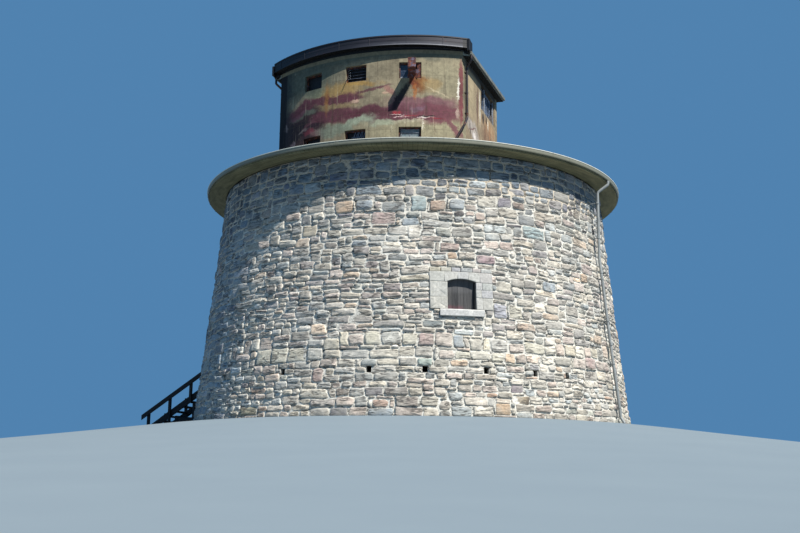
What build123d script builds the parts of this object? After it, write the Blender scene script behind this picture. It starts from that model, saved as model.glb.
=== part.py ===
from build123d import *
import os
from math import sin, cos, tan, asin, atan2, radians, degrees, sqrt

# Martello tower: a battered round drum of rubble masonry with a low conical
# roof, and a two-storey concrete observation post that stands on its front
# half.  Millimetres, +Z up, origin on the drum's axis at ground level, the
# photographed front faces -Y.  Azimuths are in degrees from -Y towards +X.

os.makedirs("parts", exist_ok=True)

# ---------------------------------------------------------------- dimensions
BASE_R = 7620.0          # outer radius of the drum at the ground
BATTER = 0.1135          # inward lean at the ground
CURVE = 1.9e-6           # the lean eases towards the top
INNER_R = 5200.0         # inner face of the drum wall
WALL_TOP = 8100.0        # outer wall head, under the eave
PLATFORM_TOP = 7600.0    # gun platform and the ledge behind the wall head
LEDGE_R = 5850.0         # outer edge of that ledge
SEG = 45.0               # angle of one wall segment
SEG_START = -133.2       # azimuth where the first segment, with the doorway, starts

DOOR_AZ = -105.0         # doorway, at the head of the stair
DOOR_W = 1100.0
DOOR_SILL = 1800.0
DOOR_HEAD = 3800.0
DOOR_DEPTH = 420.0       # outer face of the wall to the leaf

WIN_AZ = 11.7            # drum window
WIN_W = 860.0
WIN_SILL = 3140.0
WIN_SPRING = 3980.0
WIN_CROWN = 4060.0
SURROUND_HALF = 7.6      # half angle of the dressed stones round the window
SURROUND_TOP = 4400.0
SILL_HALF = 5.25
SILL_BOTTOM = 2930.0

VENT_Z = 1355.0          # small upright vents
VENT_W, VENT_H = 156.0, 190.0
VENT_AZ = [-30.9, -9.5, 3.0, 16.9, 29.4, 39.2, 62.0, 80.0, 101.0, 122.0,
           143.0, 164.0, -174.0, -153.0, -130.0, -78.0, -52.0]

EAVE_R = 7430.0          # outer face of the fascia
GUTTER_R = 7510.0
ROOF_PITCH = 10.0
ROOF_EDGE_Z = 8185.0     # underside of the roof at the fascia
ROOF_T = 90.0

POST_TURN = 17.7         # the upper building faces this far left of -Y
POST_R = 5800.0          # outer radius of its curved front wall
POST_T = 300.0           # concrete wall thickness
POST_HALF = 3220.0       # half width over the side walls
POST_BACK = 100.0        # outer face of the back wall
UPPER_FLOOR_TOP = 9850.0
FLOOR_T = 150.0
ROOF_FRONT_TOP = 11880.0 # top of the roof slab at the front corners
ROOF_SLOPE = 0.055       # the slab rises towards the back
SLAB_T = 130.0
SLAB_HALF = 3440.0
SLAB_BACK = 250.0
KERB_R = 6010.0          # curved front kerb of the upper roof
KERB_T = 110.0           # its foot stands on the slab, flush with the wall face
KERB_BOTTOM = 11935.0    # underside of the part that overhangs the wall
KERB_TOP = 12270.0
FRONT_WIN_LOCAL = [-17.2, -1.0, 16.75]   # angles from the middle of the front
FRONT_WIN_W = 720.0
FRONT_WIN_H = 550.0
UPPER_WIN_Z = 11145.0    # middle of the upper row
LOWER_WIN_Z = 8955.0     # middle of the lower row
SIDE_WIN = (-2330.0, -260.0, 10850.0, 11780.0)
BACK_WIN = [-1750.0, 0.0, 1750.0]
PANE_DEPTH = 180.0

STAIR_AZ = DOOR_AZ
RISER = 180.0
GOING = 270.0
TREADS = 9
STAIR_W = 1200.0         # over the stringers
NOSE_TOP_R = 7490.0      # radius of the sill's nosing
STRINGER_T = 60.0
STRINGER_D = 210.0
RAIL_T = 45.0
RAIL_D = 150.0


def drum_radius(z):
    return BASE_R - BATTER * z + CURVE * z * z


def radial(a):
    return (sin(radians(a)), -cos(radians(a)), 0.0)


def radial_plane(a):
    """Plane through the axis: x outwards at azimuth a, y up."""
    dx, dy, _ = radial(a)
    return Plane(origin=(0, 0, 0), x_dir=(dx, dy, 0), z_dir=(dy, -dx, 0))


def at(a, r, z):
    """Placement whose X is tangential and whose -Y points outwards."""
    dx, dy, _ = radial(a)
    return Location((r * dx, r * dy, z), (0, 0, a))


def outer_points(z0, z1, extra=0.0):
    n = max(1, round((z1 - z0) / 900.0))
    zs = [z0 + (z1 - z0) * k / n for k in range(n + 1)]
    return [(drum_radius(z) + extra, z) for z in zs]


def wall_points(z0, z1):
    pts = [(INNER_R, z0)] + outer_points(z0, z1)
    if z1 >= WALL_TOP:
        pts += [(LEDGE_R, WALL_TOP), (LEDGE_R, PLATFORM_TOP), (INNER_R, PLATFORM_TOP)]
    else:
        pts += [(INNER_R, z1)]
    return pts


# ------------------------------------------------------------ drum wall, whole
def vents_between(start):
    return [a for a in VENT_AZ if 0 < (a - start) % 360 < SEG]


plain_segments = [1, 2, 4, 5, 6, 7]
for number, k in enumerate(plain_segments, 1):
    start = SEG_START + SEG * k
    name = "drum_wall_%02d" % number
    with BuildPart() as seg:
        with BuildSketch(radial_plane(start)):
            with BuildLine():
                Polyline(*wall_points(0, WALL_TOP), close=True)
            make_face()
        revolve(axis=Axis.Z, revolution_arc=SEG)
        for a in vents_between(start):
            with Locations(at(a, 6400, VENT_Z)):
                Box(VENT_W, 3600, VENT_H, mode=Mode.SUBTRACT)
    seg.part.label = name
    export_step(seg.part, "parts/%s.step" % name)

# ------------------------------------- drum wall round the doorway, three nodes
with BuildPart() as below_door:
    with BuildSketch(radial_plane(SEG_START)):
        with BuildLine():
            Polyline(*wall_points(0, DOOR_SILL), close=True)
        make_face()
    revolve(axis=Axis.Z, revolution_arc=SEG)
    for a in vents_between(SEG_START):
        with Locations(at(a, 6400, VENT_Z)):
            Box(VENT_W, 3600, VENT_H, mode=Mode.SUBTRACT)
below_door.part.label = "drum_wall_below_door"
export_step(below_door.part, "parts/drum_wall_below_door.step")

with BuildPart() as over_door:
    with BuildSketch(radial_plane(SEG_START)):
        with BuildLine():
            Polyline(*wall_points(DOOR_HEAD, WALL_TOP), close=True)
        make_face()
    revolve(axis=Axis.Z, revolution_arc=SEG)
over_door.part.label = "drum_wall_over_door"
export_step(over_door.part, "parts/drum_wall_over_door.step")

with BuildPart() as beside_door:
    with BuildSketch(radial_plane(SEG_START)):
        with BuildLine():
            Polyline(*wall_points(DOOR_SILL, DOOR_HEAD), close=True)
        make_face()
    revolve(axis=Axis.Z, revolution_arc=SEG)
    with Locations(at(DOOR_AZ, 6400, (DOOR_SILL + DOOR_HEAD) / 2)):
        Box(DOOR_W, 4000, 2400, mode=Mode.SUBTRACT)
beside_door.part.label = "drum_wall_beside_door"
export_step(beside_door.part, "parts/drum_wall_beside_door.step")

# ------------------------------------- drum wall round the window, three nodes
WIN_START = SEG_START + 3 * SEG
pocket_in = drum_radius(WIN_SILL) - 300
wx, wy, _ = radial(WIN_AZ)
window_plane = Plane(origin=(4800 * wx, 4800 * wy, 0), x_dir=(-wy, wx, 0), z_dir=(wx, wy, 0))

with BuildPart() as below_window:
    with BuildSketch(radial_plane(WIN_START)):
        with BuildLine():
            Polyline(*wall_points(0, WIN_SILL), close=True)
        make_face()
    revolve(axis=Axis.Z, revolution_arc=SEG)
    for a in vents_between(WIN_START):
        with Locations(at(a, 6400, VENT_Z)):
            Box(VENT_W, 3600, VENT_H, mode=Mode.SUBTRACT)
    # pocket for the sill
    with BuildSketch(radial_plane(WIN_AZ - SILL_HALF)):
        with BuildLine():
            Polyline((pocket_in, SILL_BOTTOM), (8000, SILL_BOTTOM), (8000, WIN_SILL + 10),
                     (pocket_in, WIN_SILL + 10), close=True)
        make_face()
    revolve(axis=Axis.Z, revolution_arc=2 * SILL_HALF, mode=Mode.SUBTRACT)
below_window.part.label = "drum_wall_below_window"
export_step(below_window.part, "parts/drum_wall_below_window.step")

with BuildPart() as beside_window:
    with BuildSketch(radial_plane(WIN_START)):
        with BuildLine():
            Polyline(*wall_points(WIN_SILL, WIN_SPRING), close=True)
        make_face()
    revolve(axis=Axis.Z, revolution_arc=SEG)
    # pocket for the dressed stones, then the opening
    with BuildSketch(radial_plane(WIN_AZ - SURROUND_HALF)):
        with BuildLine():
            Polyline((pocket_in, WIN_SILL - 10), (8000, WIN_SILL - 10), (8000, WIN_SPRING + 10),
                     (pocket_in, WIN_SPRING + 10), close=True)
        make_face()
    revolve(axis=Axis.Z, revolution_arc=2 * SURROUND_HALF, mode=Mode.SUBTRACT)
    with Locations(at(WIN_AZ, 6400, (WIN_SILL + WIN_SPRING) / 2)):
        Box(WIN_W, 4000, 1200, mode=Mode.SUBTRACT)
beside_window.part.label = "drum_wall_beside_window"
export_step(beside_window.part, "parts/drum_wall_beside_window.step")

with BuildPart() as over_window:
    with BuildSketch(radial_plane(WIN_START)):
        with BuildLine():
            Polyline(*wall_points(WIN_SPRING, WALL_TOP), close=True)
        make_face()
    revolve(axis=Axis.Z, revolution_arc=SEG)
    with BuildSketch(radial_plane(WIN_AZ - SURROUND_HALF)):
        with BuildLine():
            Polyline((pocket_in, WIN_SPRING - 10), (8000, WIN_SPRING - 10), (8000, SURROUND_TOP),
                     (pocket_in, SURROUND_TOP), close=True)
        make_face()
    revolve(axis=Axis.Z, revolution_arc=2 * SURROUND_HALF, mode=Mode.SUBTRACT)
    with BuildSketch(window_plane):
        with BuildLine():
            Line((WIN_W / 2, WIN_SPRING), (-WIN_W / 2, WIN_SPRING))
            ThreePointArc((-WIN_W / 2, WIN_SPRING), (0, WIN_CROWN), (WIN_W / 2, WIN_SPRING))
        make_face()
    extrude(amount=3200, mode=Mode.SUBTRACT)
over_window.part.label = "drum_wall_over_window"
export_step(over_window.part, "parts/drum_wall_over_window.step")

# ----------------------------------------------------------------- drum floors
with BuildPart() as ground_floor:
    with BuildSketch(Plane.XY):
        Circle(INNER_R)
    extrude(amount=200)
ground_floor.part.label = "ground_floor"
export_step(ground_floor.part, "parts/ground_floor.step")

with BuildPart() as entrance_floor:
    with BuildSketch(Plane.XY.offset(DOOR_SILL - 180)):
        Circle(INNER_R)
    extrude(amount=180)
entrance_floor.part.label = "entrance_floor"
export_step(entrance_floor.part, "parts/entrance_floor.step")

with BuildPart() as gun_platform:
    with BuildSketch(Plane.XY.offset(PLATFORM_TOP - 450)):
        Circle(INNER_R)
    extrude(amount=450)
gun_platform.part.label = "gun_platform"
export_step(gun_platform.part, "parts/gun_platform.step")

# -------------------------------------------------- window of the drum and door
wd = drum_radius(WIN_SILL)
with BuildPart() as window_surround:
    with BuildSketch(radial_plane(WIN_AZ - SURROUND_HALF)):
        with BuildLine():
            Polyline((wd - 300, WIN_SILL), (wd + 12, WIN_SILL),
                     (drum_radius(SURROUND_TOP) + 12, SURROUND_TOP), (wd - 300, SURROUND_TOP),
                     close=True)
        make_face()
    revolve(axis=Axis.Z, revolution_arc=2 * SURROUND_HALF)
    dx, dy, _ = radial(WIN_AZ)
    with BuildSketch(Plane(origin=(6000 * dx, 6000 * dy, 0), x_dir=(-dy, dx, 0),
                           z_dir=(dx, dy, 0))):
        with BuildLine():
            Polyline((WIN_W / 2, WIN_SPRING), (WIN_W / 2, WIN_SILL),
                     (-WIN_W / 2, WIN_SILL), (-WIN_W / 2, WIN_SPRING))
            ThreePointArc((-WIN_W / 2, WIN_SPRING), (0, WIN_CROWN), (WIN_W / 2, WIN_SPRING))
        make_face()
    extrude(amount=2000, mode=Mode.SUBTRACT)
window_surround.part.label = "window_surround"
export_step(window_surround.part, "parts/window_surround.step")

with BuildPart() as window_sill:
    with BuildSketch(radial_plane(WIN_AZ - SILL_HALF)):
        with BuildLine():
            Polyline((wd - 300, SILL_BOTTOM), (drum_radius(SILL_BOTTOM) + 75, SILL_BOTTOM),
                     (drum_radius(SILL_BOTTOM) + 75, WIN_SILL - 25), (wd + 20, WIN_SILL),
                     (wd - 300, WIN_SILL), close=True)
        make_face()
    revolve(axis=Axis.Z, revolution_arc=2 * SILL_HALF)
window_sill.part.label = "window_sill"
export_step(window_sill.part, "parts/window_sill.step")

# boards that close the window, 230 behind the wall face
with BuildPart() as window_boards:
    dx, dy, _ = radial(WIN_AZ)
    r0 = wd - 230 - 50
    with BuildSketch(Plane(origin=(r0 * dx, r0 * dy, 0), x_dir=(-dy, dx, 0),
                           z_dir=(dx, dy, 0))):
        with BuildLine():
            Polyline((WIN_W / 2, WIN_SPRING), (WIN_W / 2, WIN_SILL),
                     (-WIN_W / 2, WIN_SILL), (-WIN_W / 2, WIN_SPRING))
            ThreePointArc((-WIN_W / 2, WIN_SPRING), (0, WIN_CROWN), (WIN_W / 2, WIN_SPRING))
        make_face()
    extrude(amount=50)
window_boards.part.label = "window_boards"
export_step(window_boards.part, "parts/window_boards.step")

door_r = drum_radius(DOOR_SILL) - DOOR_DEPTH
with BuildPart() as door_frame:
    with Locations(at(DOOR_AZ, door_r - 60, (DOOR_SILL + DOOR_HEAD) / 2)):
        Box(DOOR_W, 120, DOOR_HEAD - DOOR_SILL)
    with Locations(at(DOOR_AZ, door_r - 60, (DOOR_SILL + DOOR_HEAD) / 2 - 45)):
        Box(DOOR_W - 180, 200, DOOR_HEAD - DOOR_SILL - 90, mode=Mode.SUBTRACT)
door_frame.part.label = "door_frame"
export_step(door_frame.part, "parts/door_frame.step")

with BuildPart() as door_leaf:
    with Locations(at(DOOR_AZ, door_r - 60, (DOOR_SILL + DOOR_HEAD) / 2 - 45)):
        Box(DOOR_W - 180, 60, DOOR_HEAD - DOOR_SILL - 90)
door_leaf.part.label = "door_leaf"
export_step(door_leaf.part, "parts/door_leaf.step")

# ------------------------------------------------------------ eave and gutter
slope = tan(radians(ROOF_PITCH))


def roof_under(r):
    return ROOF_EDGE_Z + (EAVE_R - r) * slope


soffit_in = drum_radius(WALL_TOP)
for start, name in [(-90.0, "eave_front"), (90.0, "eave_back")]:
    with BuildPart() as eave:
        with BuildSketch(radial_plane(start)):
            with BuildLine():
                Polyline((soffit_in, WALL_TOP), (EAVE_R, WALL_TOP), (EAVE_R, ROOF_EDGE_Z),
                         (EAVE_R - 30, roof_under(EAVE_R - 30)), (EAVE_R - 30, WALL_TOP + 25),
                         (soffit_in, WALL_TOP + 25), close=True)
            make_face()
        revolve(axis=Axis.Z, revolution_arc=180)
    eave.part.label = name
    export_step(eave.part, "parts/%s.step" % name)

with BuildPart() as eave_gutter:
    with BuildSketch(Plane.XZ):
        with BuildLine():
            Polyline((EAVE_R, 8135), (GUTTER_R - 22, 8135), (GUTTER_R - 8, 8152),
                     (GUTTER_R - 8, 8262), (GUTTER_R, 8268), (GUTTER_R, 8285),
                     (GUTTER_R - 18, 8285), (GUTTER_R - 18, 8155), (EAVE_R + 10, 8145),
                     (EAVE_R + 10, 8262), (EAVE_R, 8262), close=True)
        make_face()
    revolve(axis=Axis.Z)
eave_gutter.part.label = "eave_gutter"
export_step(eave_gutter.part, "parts/eave_gutter.step")

# --------------------------------------------- low conical roof round the post
post_plane = Plane(origin=(0, 0, 0),
                   x_dir=(cos(radians(POST_TURN)), -sin(radians(POST_TURN)), 0),
                   z_dir=(0, 0, 1))
corner = degrees(asin(POST_HALF / POST_R))
back_corner = degrees(atan2(POST_HALF, -POST_BACK))
az_left = -POST_TURN - corner
az_right = -POST_TURN + corner
az_back_left = -POST_TURN - back_corner
az_back_right = -POST_TURN + back_corner

roof_section = [(EAVE_R, ROOF_EDGE_Z), (EAVE_R, ROOF_EDGE_Z + ROOF_T),
                (0.0, roof_under(0.0) + ROOF_T), (0.0, roof_under(0.0))]


def post_outline(height):
    """The post's outer outline, as a private solid in the row's frame."""
    with BuildPart(mode=Mode.PRIVATE) as outline:
        with BuildSketch(post_plane):
            Circle(POST_R)
            with Locations((0, POST_BACK - 5000)):
                Rectangle(2 * POST_HALF, 10000, mode=Mode.INTERSECT)
        extrude(amount=height)
    return outline.part


outline_solid = post_outline(14000)

with BuildPart() as roof_front:
    with BuildSketch(radial_plane(az_left)):
        with BuildLine():
            Polyline(*roof_section, close=True)
        make_face()
    revolve(axis=Axis.Z, revolution_arc=az_right - az_left)
    add(outline_solid, mode=Mode.SUBTRACT)
roof_front.part.label = "roof_front"
export_step(roof_front.part, "parts/roof_front.step")

with BuildPart() as roof_sides:
    for a0, a1 in [(az_back_left, az_left), (az_right, az_back_right)]:
        with BuildSketch(radial_plane(a0)):
            with BuildLine():
                Polyline(*roof_section, close=True)
            make_face()
        revolve(axis=Axis.Z, revolution_arc=a1 - a0)
    add(outline_solid, mode=Mode.SUBTRACT)
roof_sides.part.label = "roof_sides"
export_step(roof_sides.part, "parts/roof_sides.step")

with BuildPart() as roof_rear:
    with BuildSketch(radial_plane(az_back_right)):
        with BuildLine():
            Polyline(*roof_section, close=True)
        make_face()
    revolve(axis=Axis.Z, revolution_arc=az_back_left + 360 - az_back_right)
    add(outline_solid, mode=Mode.SUBTRACT)
roof_rear.part.label = "roof_rear"
export_step(roof_rear.part, "parts/roof_rear.step")


# ------------------------------------------------------------- the upper post
def slab_top(u):
    return ROOF_FRONT_TOP + ROOF_SLOPE * (u + 4930.0)


def above_plane_cut(drop):
    """Private solid of everything above the roof slab's top less drop."""
    side = Plane(origin=(0, 0, 0), x_dir=post_plane.y_dir, z_dir=post_plane.x_dir)
    with BuildPart(mode=Mode.PRIVATE) as cut:
        with BuildSketch(side):
            with BuildLine():
                Polyline((-8000, slab_top(-8000) - drop), (3000, slab_top(3000) - drop),
                         (3000, 15000), (-8000, 15000), close=True)
            make_face()
        extrude(amount=6000, both=True)
    return cut.part


over_slab = above_plane_cut(0.0)
over_walls = above_plane_cut(SLAB_T)
side_axis_plane = Plane(origin=(0, 0, 0), x_dir=post_plane.y_dir, z_dir=post_plane.x_dir)

front_cuts = [-corner, -8.6, 8.6, corner]
front_names = ["post_front_wall_left", "post_front_wall_middle", "post_front_wall_right"]
for k, name in enumerate(front_names):
    a0 = -POST_TURN + (front_cuts[k] if k else -40.0)
    a1 = -POST_TURN + (front_cuts[k + 1] if k < 2 else 40.0)
    with BuildPart() as front_wall:
        with BuildSketch(radial_plane(a0)):
            with BuildLine():
                Polyline((POST_R - POST_T, PLATFORM_TOP), (POST_R, PLATFORM_TOP),
                         (POST_R, 13000), (POST_R - POST_T, 13000), close=True)
            make_face()
        revolve(axis=Axis.Z, revolution_arc=a1 - a0)
        with BuildSketch(post_plane):
            Rectangle(2 * POST_HALF, 20000)
        extrude(amount=14000, mode=Mode.INTERSECT)
        add(over_walls, mode=Mode.SUBTRACT)
        for z in (UPPER_WIN_Z, LOWER_WIN_Z):
            with Locations(at(FRONT_WIN_LOCAL[k] - POST_TURN, POST_R - POST_T / 2, z)):
                Box(FRONT_WIN_W, 700, FRONT_WIN_H, mode=Mode.SUBTRACT)
    front_wall.part.label = name
    export_step(front_wall.part, "parts/%s.step" % name)

u0, u1, wz0, wz1 = SIDE_WIN
with BuildPart() as side_walls:
    for side in (-1, 1):
        with BuildSketch(post_plane.offset(PLATFORM_TOP)):
            Circle(POST_R - POST_T)
            with Locations((side * (POST_HALF - POST_T / 2), POST_BACK - POST_T - 3500)):
                Rectangle(POST_T, 7000, mode=Mode.INTERSECT)
        extrude(amount=6000)
    add(over_walls, mode=Mode.SUBTRACT)
    with BuildSketch(side_axis_plane):
        with Locations(((u0 + u1) / 2, (wz0 + wz1) / 2)):
            Rectangle(u1 - u0, wz1 - wz0)
    extrude(amount=5000, both=True, mode=Mode.SUBTRACT)
side_walls.part.label = "post_side_walls"
export_step(side_walls.part, "parts/post_side_walls.step")

with BuildPart() as back_wall:
    with BuildSketch(post_plane.offset(PLATFORM_TOP)):
        with Locations((0, POST_BACK - POST_T / 2)):
            Rectangle(2 * POST_HALF, POST_T)
    extrude(amount=6000)
    add(over_walls, mode=Mode.SUBTRACT)
    with BuildSketch(post_plane.offset(UPPER_WIN_Z - FRONT_WIN_H / 2)):
        for n in BACK_WIN:
            with Locations((n, POST_BACK - POST_T / 2)):
                Rectangle(FRONT_WIN_W, 2 * POST_T)
    extrude(amount=FRONT_WIN_H, mode=Mode.SUBTRACT)
back_wall.part.label = "post_back_wall"
export_step(back_wall.part, "parts/post_back_wall.step")

with BuildPart() as upper_floor:
    with BuildSketch(post_plane.offset(UPPER_FLOOR_TOP - FLOOR_T)):
        Circle(POST_R - POST_T)
        with Locations((0, POST_BACK - POST_T - 5000)):
            Rectangle(2 * (POST_HALF - POST_T), 10000, mode=Mode.INTERSECT)
    extrude(amount=FLOOR_T)
upper_floor.part.label = "post_upper_floor"
export_step(upper_floor.part, "parts/post_upper_floor.step")

with BuildPart() as roof_slab:
    with BuildSketch(post_plane.offset(11000)):
        Circle(POST_R)
        with Locations((0, SLAB_BACK - 6000)):
            Rectangle(2 * SLAB_HALF, 12000, mode=Mode.INTERSECT)
    extrude(amount=2000)
    add(over_slab, mode=Mode.SUBTRACT)
    add(over_walls, mode=Mode.INTERSECT)
roof_slab.part.label = "post_roof_slab"
export_step(roof_slab.part, "parts/post_roof_slab.step")

# curved kerb: a foot on the slab's front edge and an upper part that overhangs
# the wall and runs a little past the slab's sides
with BuildPart() as roof_kerb:
    with BuildSketch(radial_plane(-POST_TURN - 40)):
        with BuildLine():
            Polyline((POST_R - KERB_T, 11700), (POST_R, 11700), (POST_R, KERB_TOP),
                     (POST_R - KERB_T, KERB_TOP), close=True)
        make_face()
    revolve(axis=Axis.Z, revolution_arc=80)
    with BuildSketch(post_plane):
        Rectangle(2 * SLAB_HALF, 20000)
    extrude(amount=14000, mode=Mode.INTERSECT)
    add(over_slab, mode=Mode.INTERSECT)
    with BuildPart(mode=Mode.PRIVATE) as overhang:
        with BuildSketch(radial_plane(-POST_TURN - 40)):
            with BuildLine():
                Polyline((POST_R - KERB_T, KERB_BOTTOM), (KERB_R, KERB_BOTTOM),
                         (KERB_R, KERB_TOP), (POST_R - KERB_T, KERB_TOP), close=True)
            make_face()
        revolve(axis=Axis.Z, revolution_arc=80)
        with BuildSketch(post_plane):
            Rectangle(2 * (SLAB_HALF + 30), 20000)
        extrude(amount=14000, mode=Mode.INTERSECT)
    add(overhang.part)
roof_kerb.part.label = "post_roof_kerb"
export_step(roof_kerb.part, "parts/post_roof_kerb.step")

# dark plates and their rusted frames in the post's windows
with BuildPart() as window_frames:
    for z in (UPPER_WIN_Z, LOWER_WIN_Z):
        for phi in FRONT_WIN_LOCAL:
            a = phi - POST_TURN
            with Locations(at(a, POST_R - 130, z)):
                Box(FRONT_WIN_W, 60, FRONT_WIN_H)
            with Locations(at(a, POST_R - 130, z)):
                Box(FRONT_WIN_W - 90, 100, FRONT_WIN_H - 90, mode=Mode.SUBTRACT)
window_frames.part.label = "post_window_frames"
export_step(window_frames.part, "parts/post_window_frames.step")

with BuildPart() as window_plates:
    for z in (UPPER_WIN_Z, LOWER_WIN_Z):
        for phi in FRONT_WIN_LOCAL:
            with Locations(at(phi - POST_TURN, POST_R - PANE_DEPTH - 5, z)):
                Box(FRONT_WIN_W, 16, FRONT_WIN_H)
window_plates.part.label = "post_window_plates"
export_step(window_plates.part, "parts/post_window_plates.step")

with BuildPart() as panes:
    for side in (-1, 1):
        with BuildSketch(post_plane.offset(wz0)):
            with Locations((side * (POST_HALF - PANE_DEPTH), (u0 + u1) / 2)):
                Rectangle(20, u1 - u0)
        extrude(amount=wz1 - wz0)
    with BuildSketch(post_plane.offset(UPPER_WIN_Z - FRONT_WIN_H / 2)):
        for n in BACK_WIN:
            with Locations((n, POST_BACK - PANE_DEPTH)):
                Rectangle(FRONT_WIN_W, 20)
    extrude(amount=FRONT_WIN_H)
panes.part.label = "post_panes"
export_step(panes.part, "parts/post_panes.step")

# rusted steel beam that leaves the third upper window, on a shoe on its sill
BEAM_AZ = -0.4
BEAM_Z0 = 10985.0
BEAM_Z1 = 11290.0
with BuildPart() as steel_beam:
    with Locations(at(BEAM_AZ, (5650 + 6470) / 2, BEAM_Z0 + 10)):
        Box(250, 820, 20)
    with Locations(at(BEAM_AZ, (5650 + 6470) / 2, BEAM_Z1 - 10)):
        Box(250, 820, 20)
    with Locations(at(BEAM_AZ, (5650 + 6470) / 2, (BEAM_Z0 + BEAM_Z1) / 2)):
        Box(16, 820, BEAM_Z1 - BEAM_Z0)
    with Locations(at(BEAM_AZ, 6455, (BEAM_Z0 + BEAM_Z1) / 2)):
        Box(250, 14, BEAM_Z1 - BEAM_Z0)
    with Locations(at(BEAM_AZ, 5750, (BEAM_Z0 + UPPER_WIN_Z - FRONT_WIN_H / 2) / 2)):
        Box(300, 90, BEAM_Z0 - UPPER_WIN_Z + FRONT_WIN_H / 2)
steel_beam.part.label = "steel_beam"
export_step(steel_beam.part, "parts/steel_beam.step")


# ------------------------------------------------------------------- rainwater
def polar(a, r, z):
    dx, dy, _ = radial(a)
    return (r * dx, r * dy, z)


def post_point(n, u, z):
    v = post_plane.from_local_coords(Vector(n, u, z))
    return (v.X, v.Y, v.Z)


PIPE_AZ = 59.5
drum_pipe_path = [polar(61.3, 7484, 8128), polar(61.2, 7480, 8000), polar(59.7, 7170, 7720),
                  polar(PIPE_AZ, 7165, 5500), polar(PIPE_AZ, drum_radius(2700) + 105, 2700),
                  polar(PIPE_AZ, drum_radius(250) + 105, 250),
                  polar(PIPE_AZ, drum_radius(0) + 190, 60)]
with BuildPart() as drum_downpipe:
    with BuildLine() as drum_line:
        FilletPolyline(*drum_pipe_path, radius=110)
    with BuildSketch(Plane(origin=drum_line.line @ 0, z_dir=drum_line.line % 0)):
        Circle(48)
    sweep()
drum_downpipe.part.label = "drum_downpipe"
export_step(drum_downpipe.part, "parts/drum_downpipe.step")

right_path = [post_point(3482, -4700, 11780), post_point(3482, -4700, 11640),
              post_point(3290, -4560, 11440), post_point(3290, -4560, 9700),
              polar(16.3, 5910, 9380), polar(12.2, 5860, 8640)]
left_path = [post_point(-3482, -4700, 11780), post_point(-3482, -4700, 11640),
             post_point(-3290, -4600, 11440), post_point(-3290, -4600, 8760)]
with BuildPart() as post_downpipes:
    for path in (right_path, left_path):
        with BuildLine() as pipe_line:
            FilletPolyline(*path, radius=70)
        with BuildSketch(Plane(origin=pipe_line.line @ 0, z_dir=pipe_line.line % 0)):
            Circle(38)
        sweep(path=pipe_line.line)
post_downpipes.part.label = "post_downpipes"
export_step(post_downpipes.part, "parts/post_downpipes.step")

# side gutters of the post's roof, falling to the front
with BuildPart() as side_gutters:
    for side in (-1, 1):
        with BuildSketch(side_axis_plane.offset(side * SLAB_HALF)):
            with BuildLine():
                Polyline((-4760, slab_top(-4760) - 100), (SLAB_BACK, slab_top(SLAB_BACK) - 100),
                         (SLAB_BACK, slab_top(SLAB_BACK) + 5), (-4760, slab_top(-4760) + 5),
                         close=True)
            make_face()
        extrude(amount=side * 70)
side_gutters.part.label = "post_side_gutters"
export_step(side_gutters.part, "parts/post_side_gutters.step")

# ----------------------------------------------------------------------- stair
stair_plane = radial_plane(STAIR_AZ)      # x outwards, y up
PITCH = RISER / GOING


def nosing(r):
    return DOOR_SILL - PITCH * (r - NOSE_TOP_R)


def stringer_top(r):
    return nosing(r) + 85.0


half = STAIR_W / 2
foot_r = NOSE_TOP_R + (DOOR_SILL + 85.0) / PITCH
depth = STRINGER_D / cos(radians(33.69))
with BuildPart() as stair_stringers:
    for s in (-1, 1):
        with BuildSketch(stair_plane.offset(s * half - (STRINGER_T if s > 0 else 0))):
            with BuildLine():
                Polyline((7400, stringer_top(7400)), (foot_r, 0), (foot_r - depth / PITCH, 0),
                         (7434, stringer_top(7434) - depth), close=True)
            make_face()
        extrude(amount=STRINGER_T)
stair_stringers.part.label = "stair_stringers"
export_step(stair_stringers.part, "parts/stair_stringers.step")

with BuildPart() as stair_treads:
    for k in range(1, TREADS + 1):
        nose = NOSE_TOP_R + GOING * (TREADS + 1 - k)
        with BuildSketch(stair_plane.offset(-half + STRINGER_T)):
            with Locations((nose - 145, RISER * k - 25)):
                Rectangle(290, 50)
        extrude(amount=STAIR_W - 2 * STRINGER_T)
stair_treads.part.label = "stair_treads"
export_step(stair_treads.part, "parts/stair_treads.step")


def rail_top(r):
    return stringer_top(r) + 570.0


POST_RS = [10060.0, 9205.0, 8370.0, 7670.0]
GROUNDED = [10060.0, 9205.0]
with BuildPart() as stair_supports:
    # handrail posts
    for s in (-1, 1):
        for r in POST_RS:
            low = 0.0 if r in GROUNDED else stringer_top(r) - depth - 20
            high = rail_top(r) - 25
            with BuildSketch(stair_plane.offset(s * (half + 45) - 45)):
                with Locations((r, (low + high) / 2)):
                    Rectangle(95, high - low)
            extrude(amount=90)
    # low trestle under the middle of the flight
    for r in (8950.0, 8250.0):
        top = stringer_top(r) - depth - 115
        for s in (-1, 1):
            with BuildSketch(stair_plane.offset(s * (half - 50) - 45)):
                with Locations((r, top / 2)):
                    Rectangle(95, top)
            extrude(amount=90)
        with BuildSketch(stair_plane.offset(-half + 50)):
            with Locations((r, top - 60)):
                Rectangle(95, 120)
            with Locations((r, 70)):
                Rectangle(95, 140)
        extrude(amount=2 * half - 100)
    # its lower part is boarded in
    for s in (-1, 1):
        with BuildSketch(stair_plane.offset(s * (half - 50) - 30)):
            with Locations((8600, 240)):
                Rectangle(700, 480)
        extrude(amount=60)
stair_supports.part.label = "stair_supports"
export_step(stair_supports.part, "parts/stair_supports.step")

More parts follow.
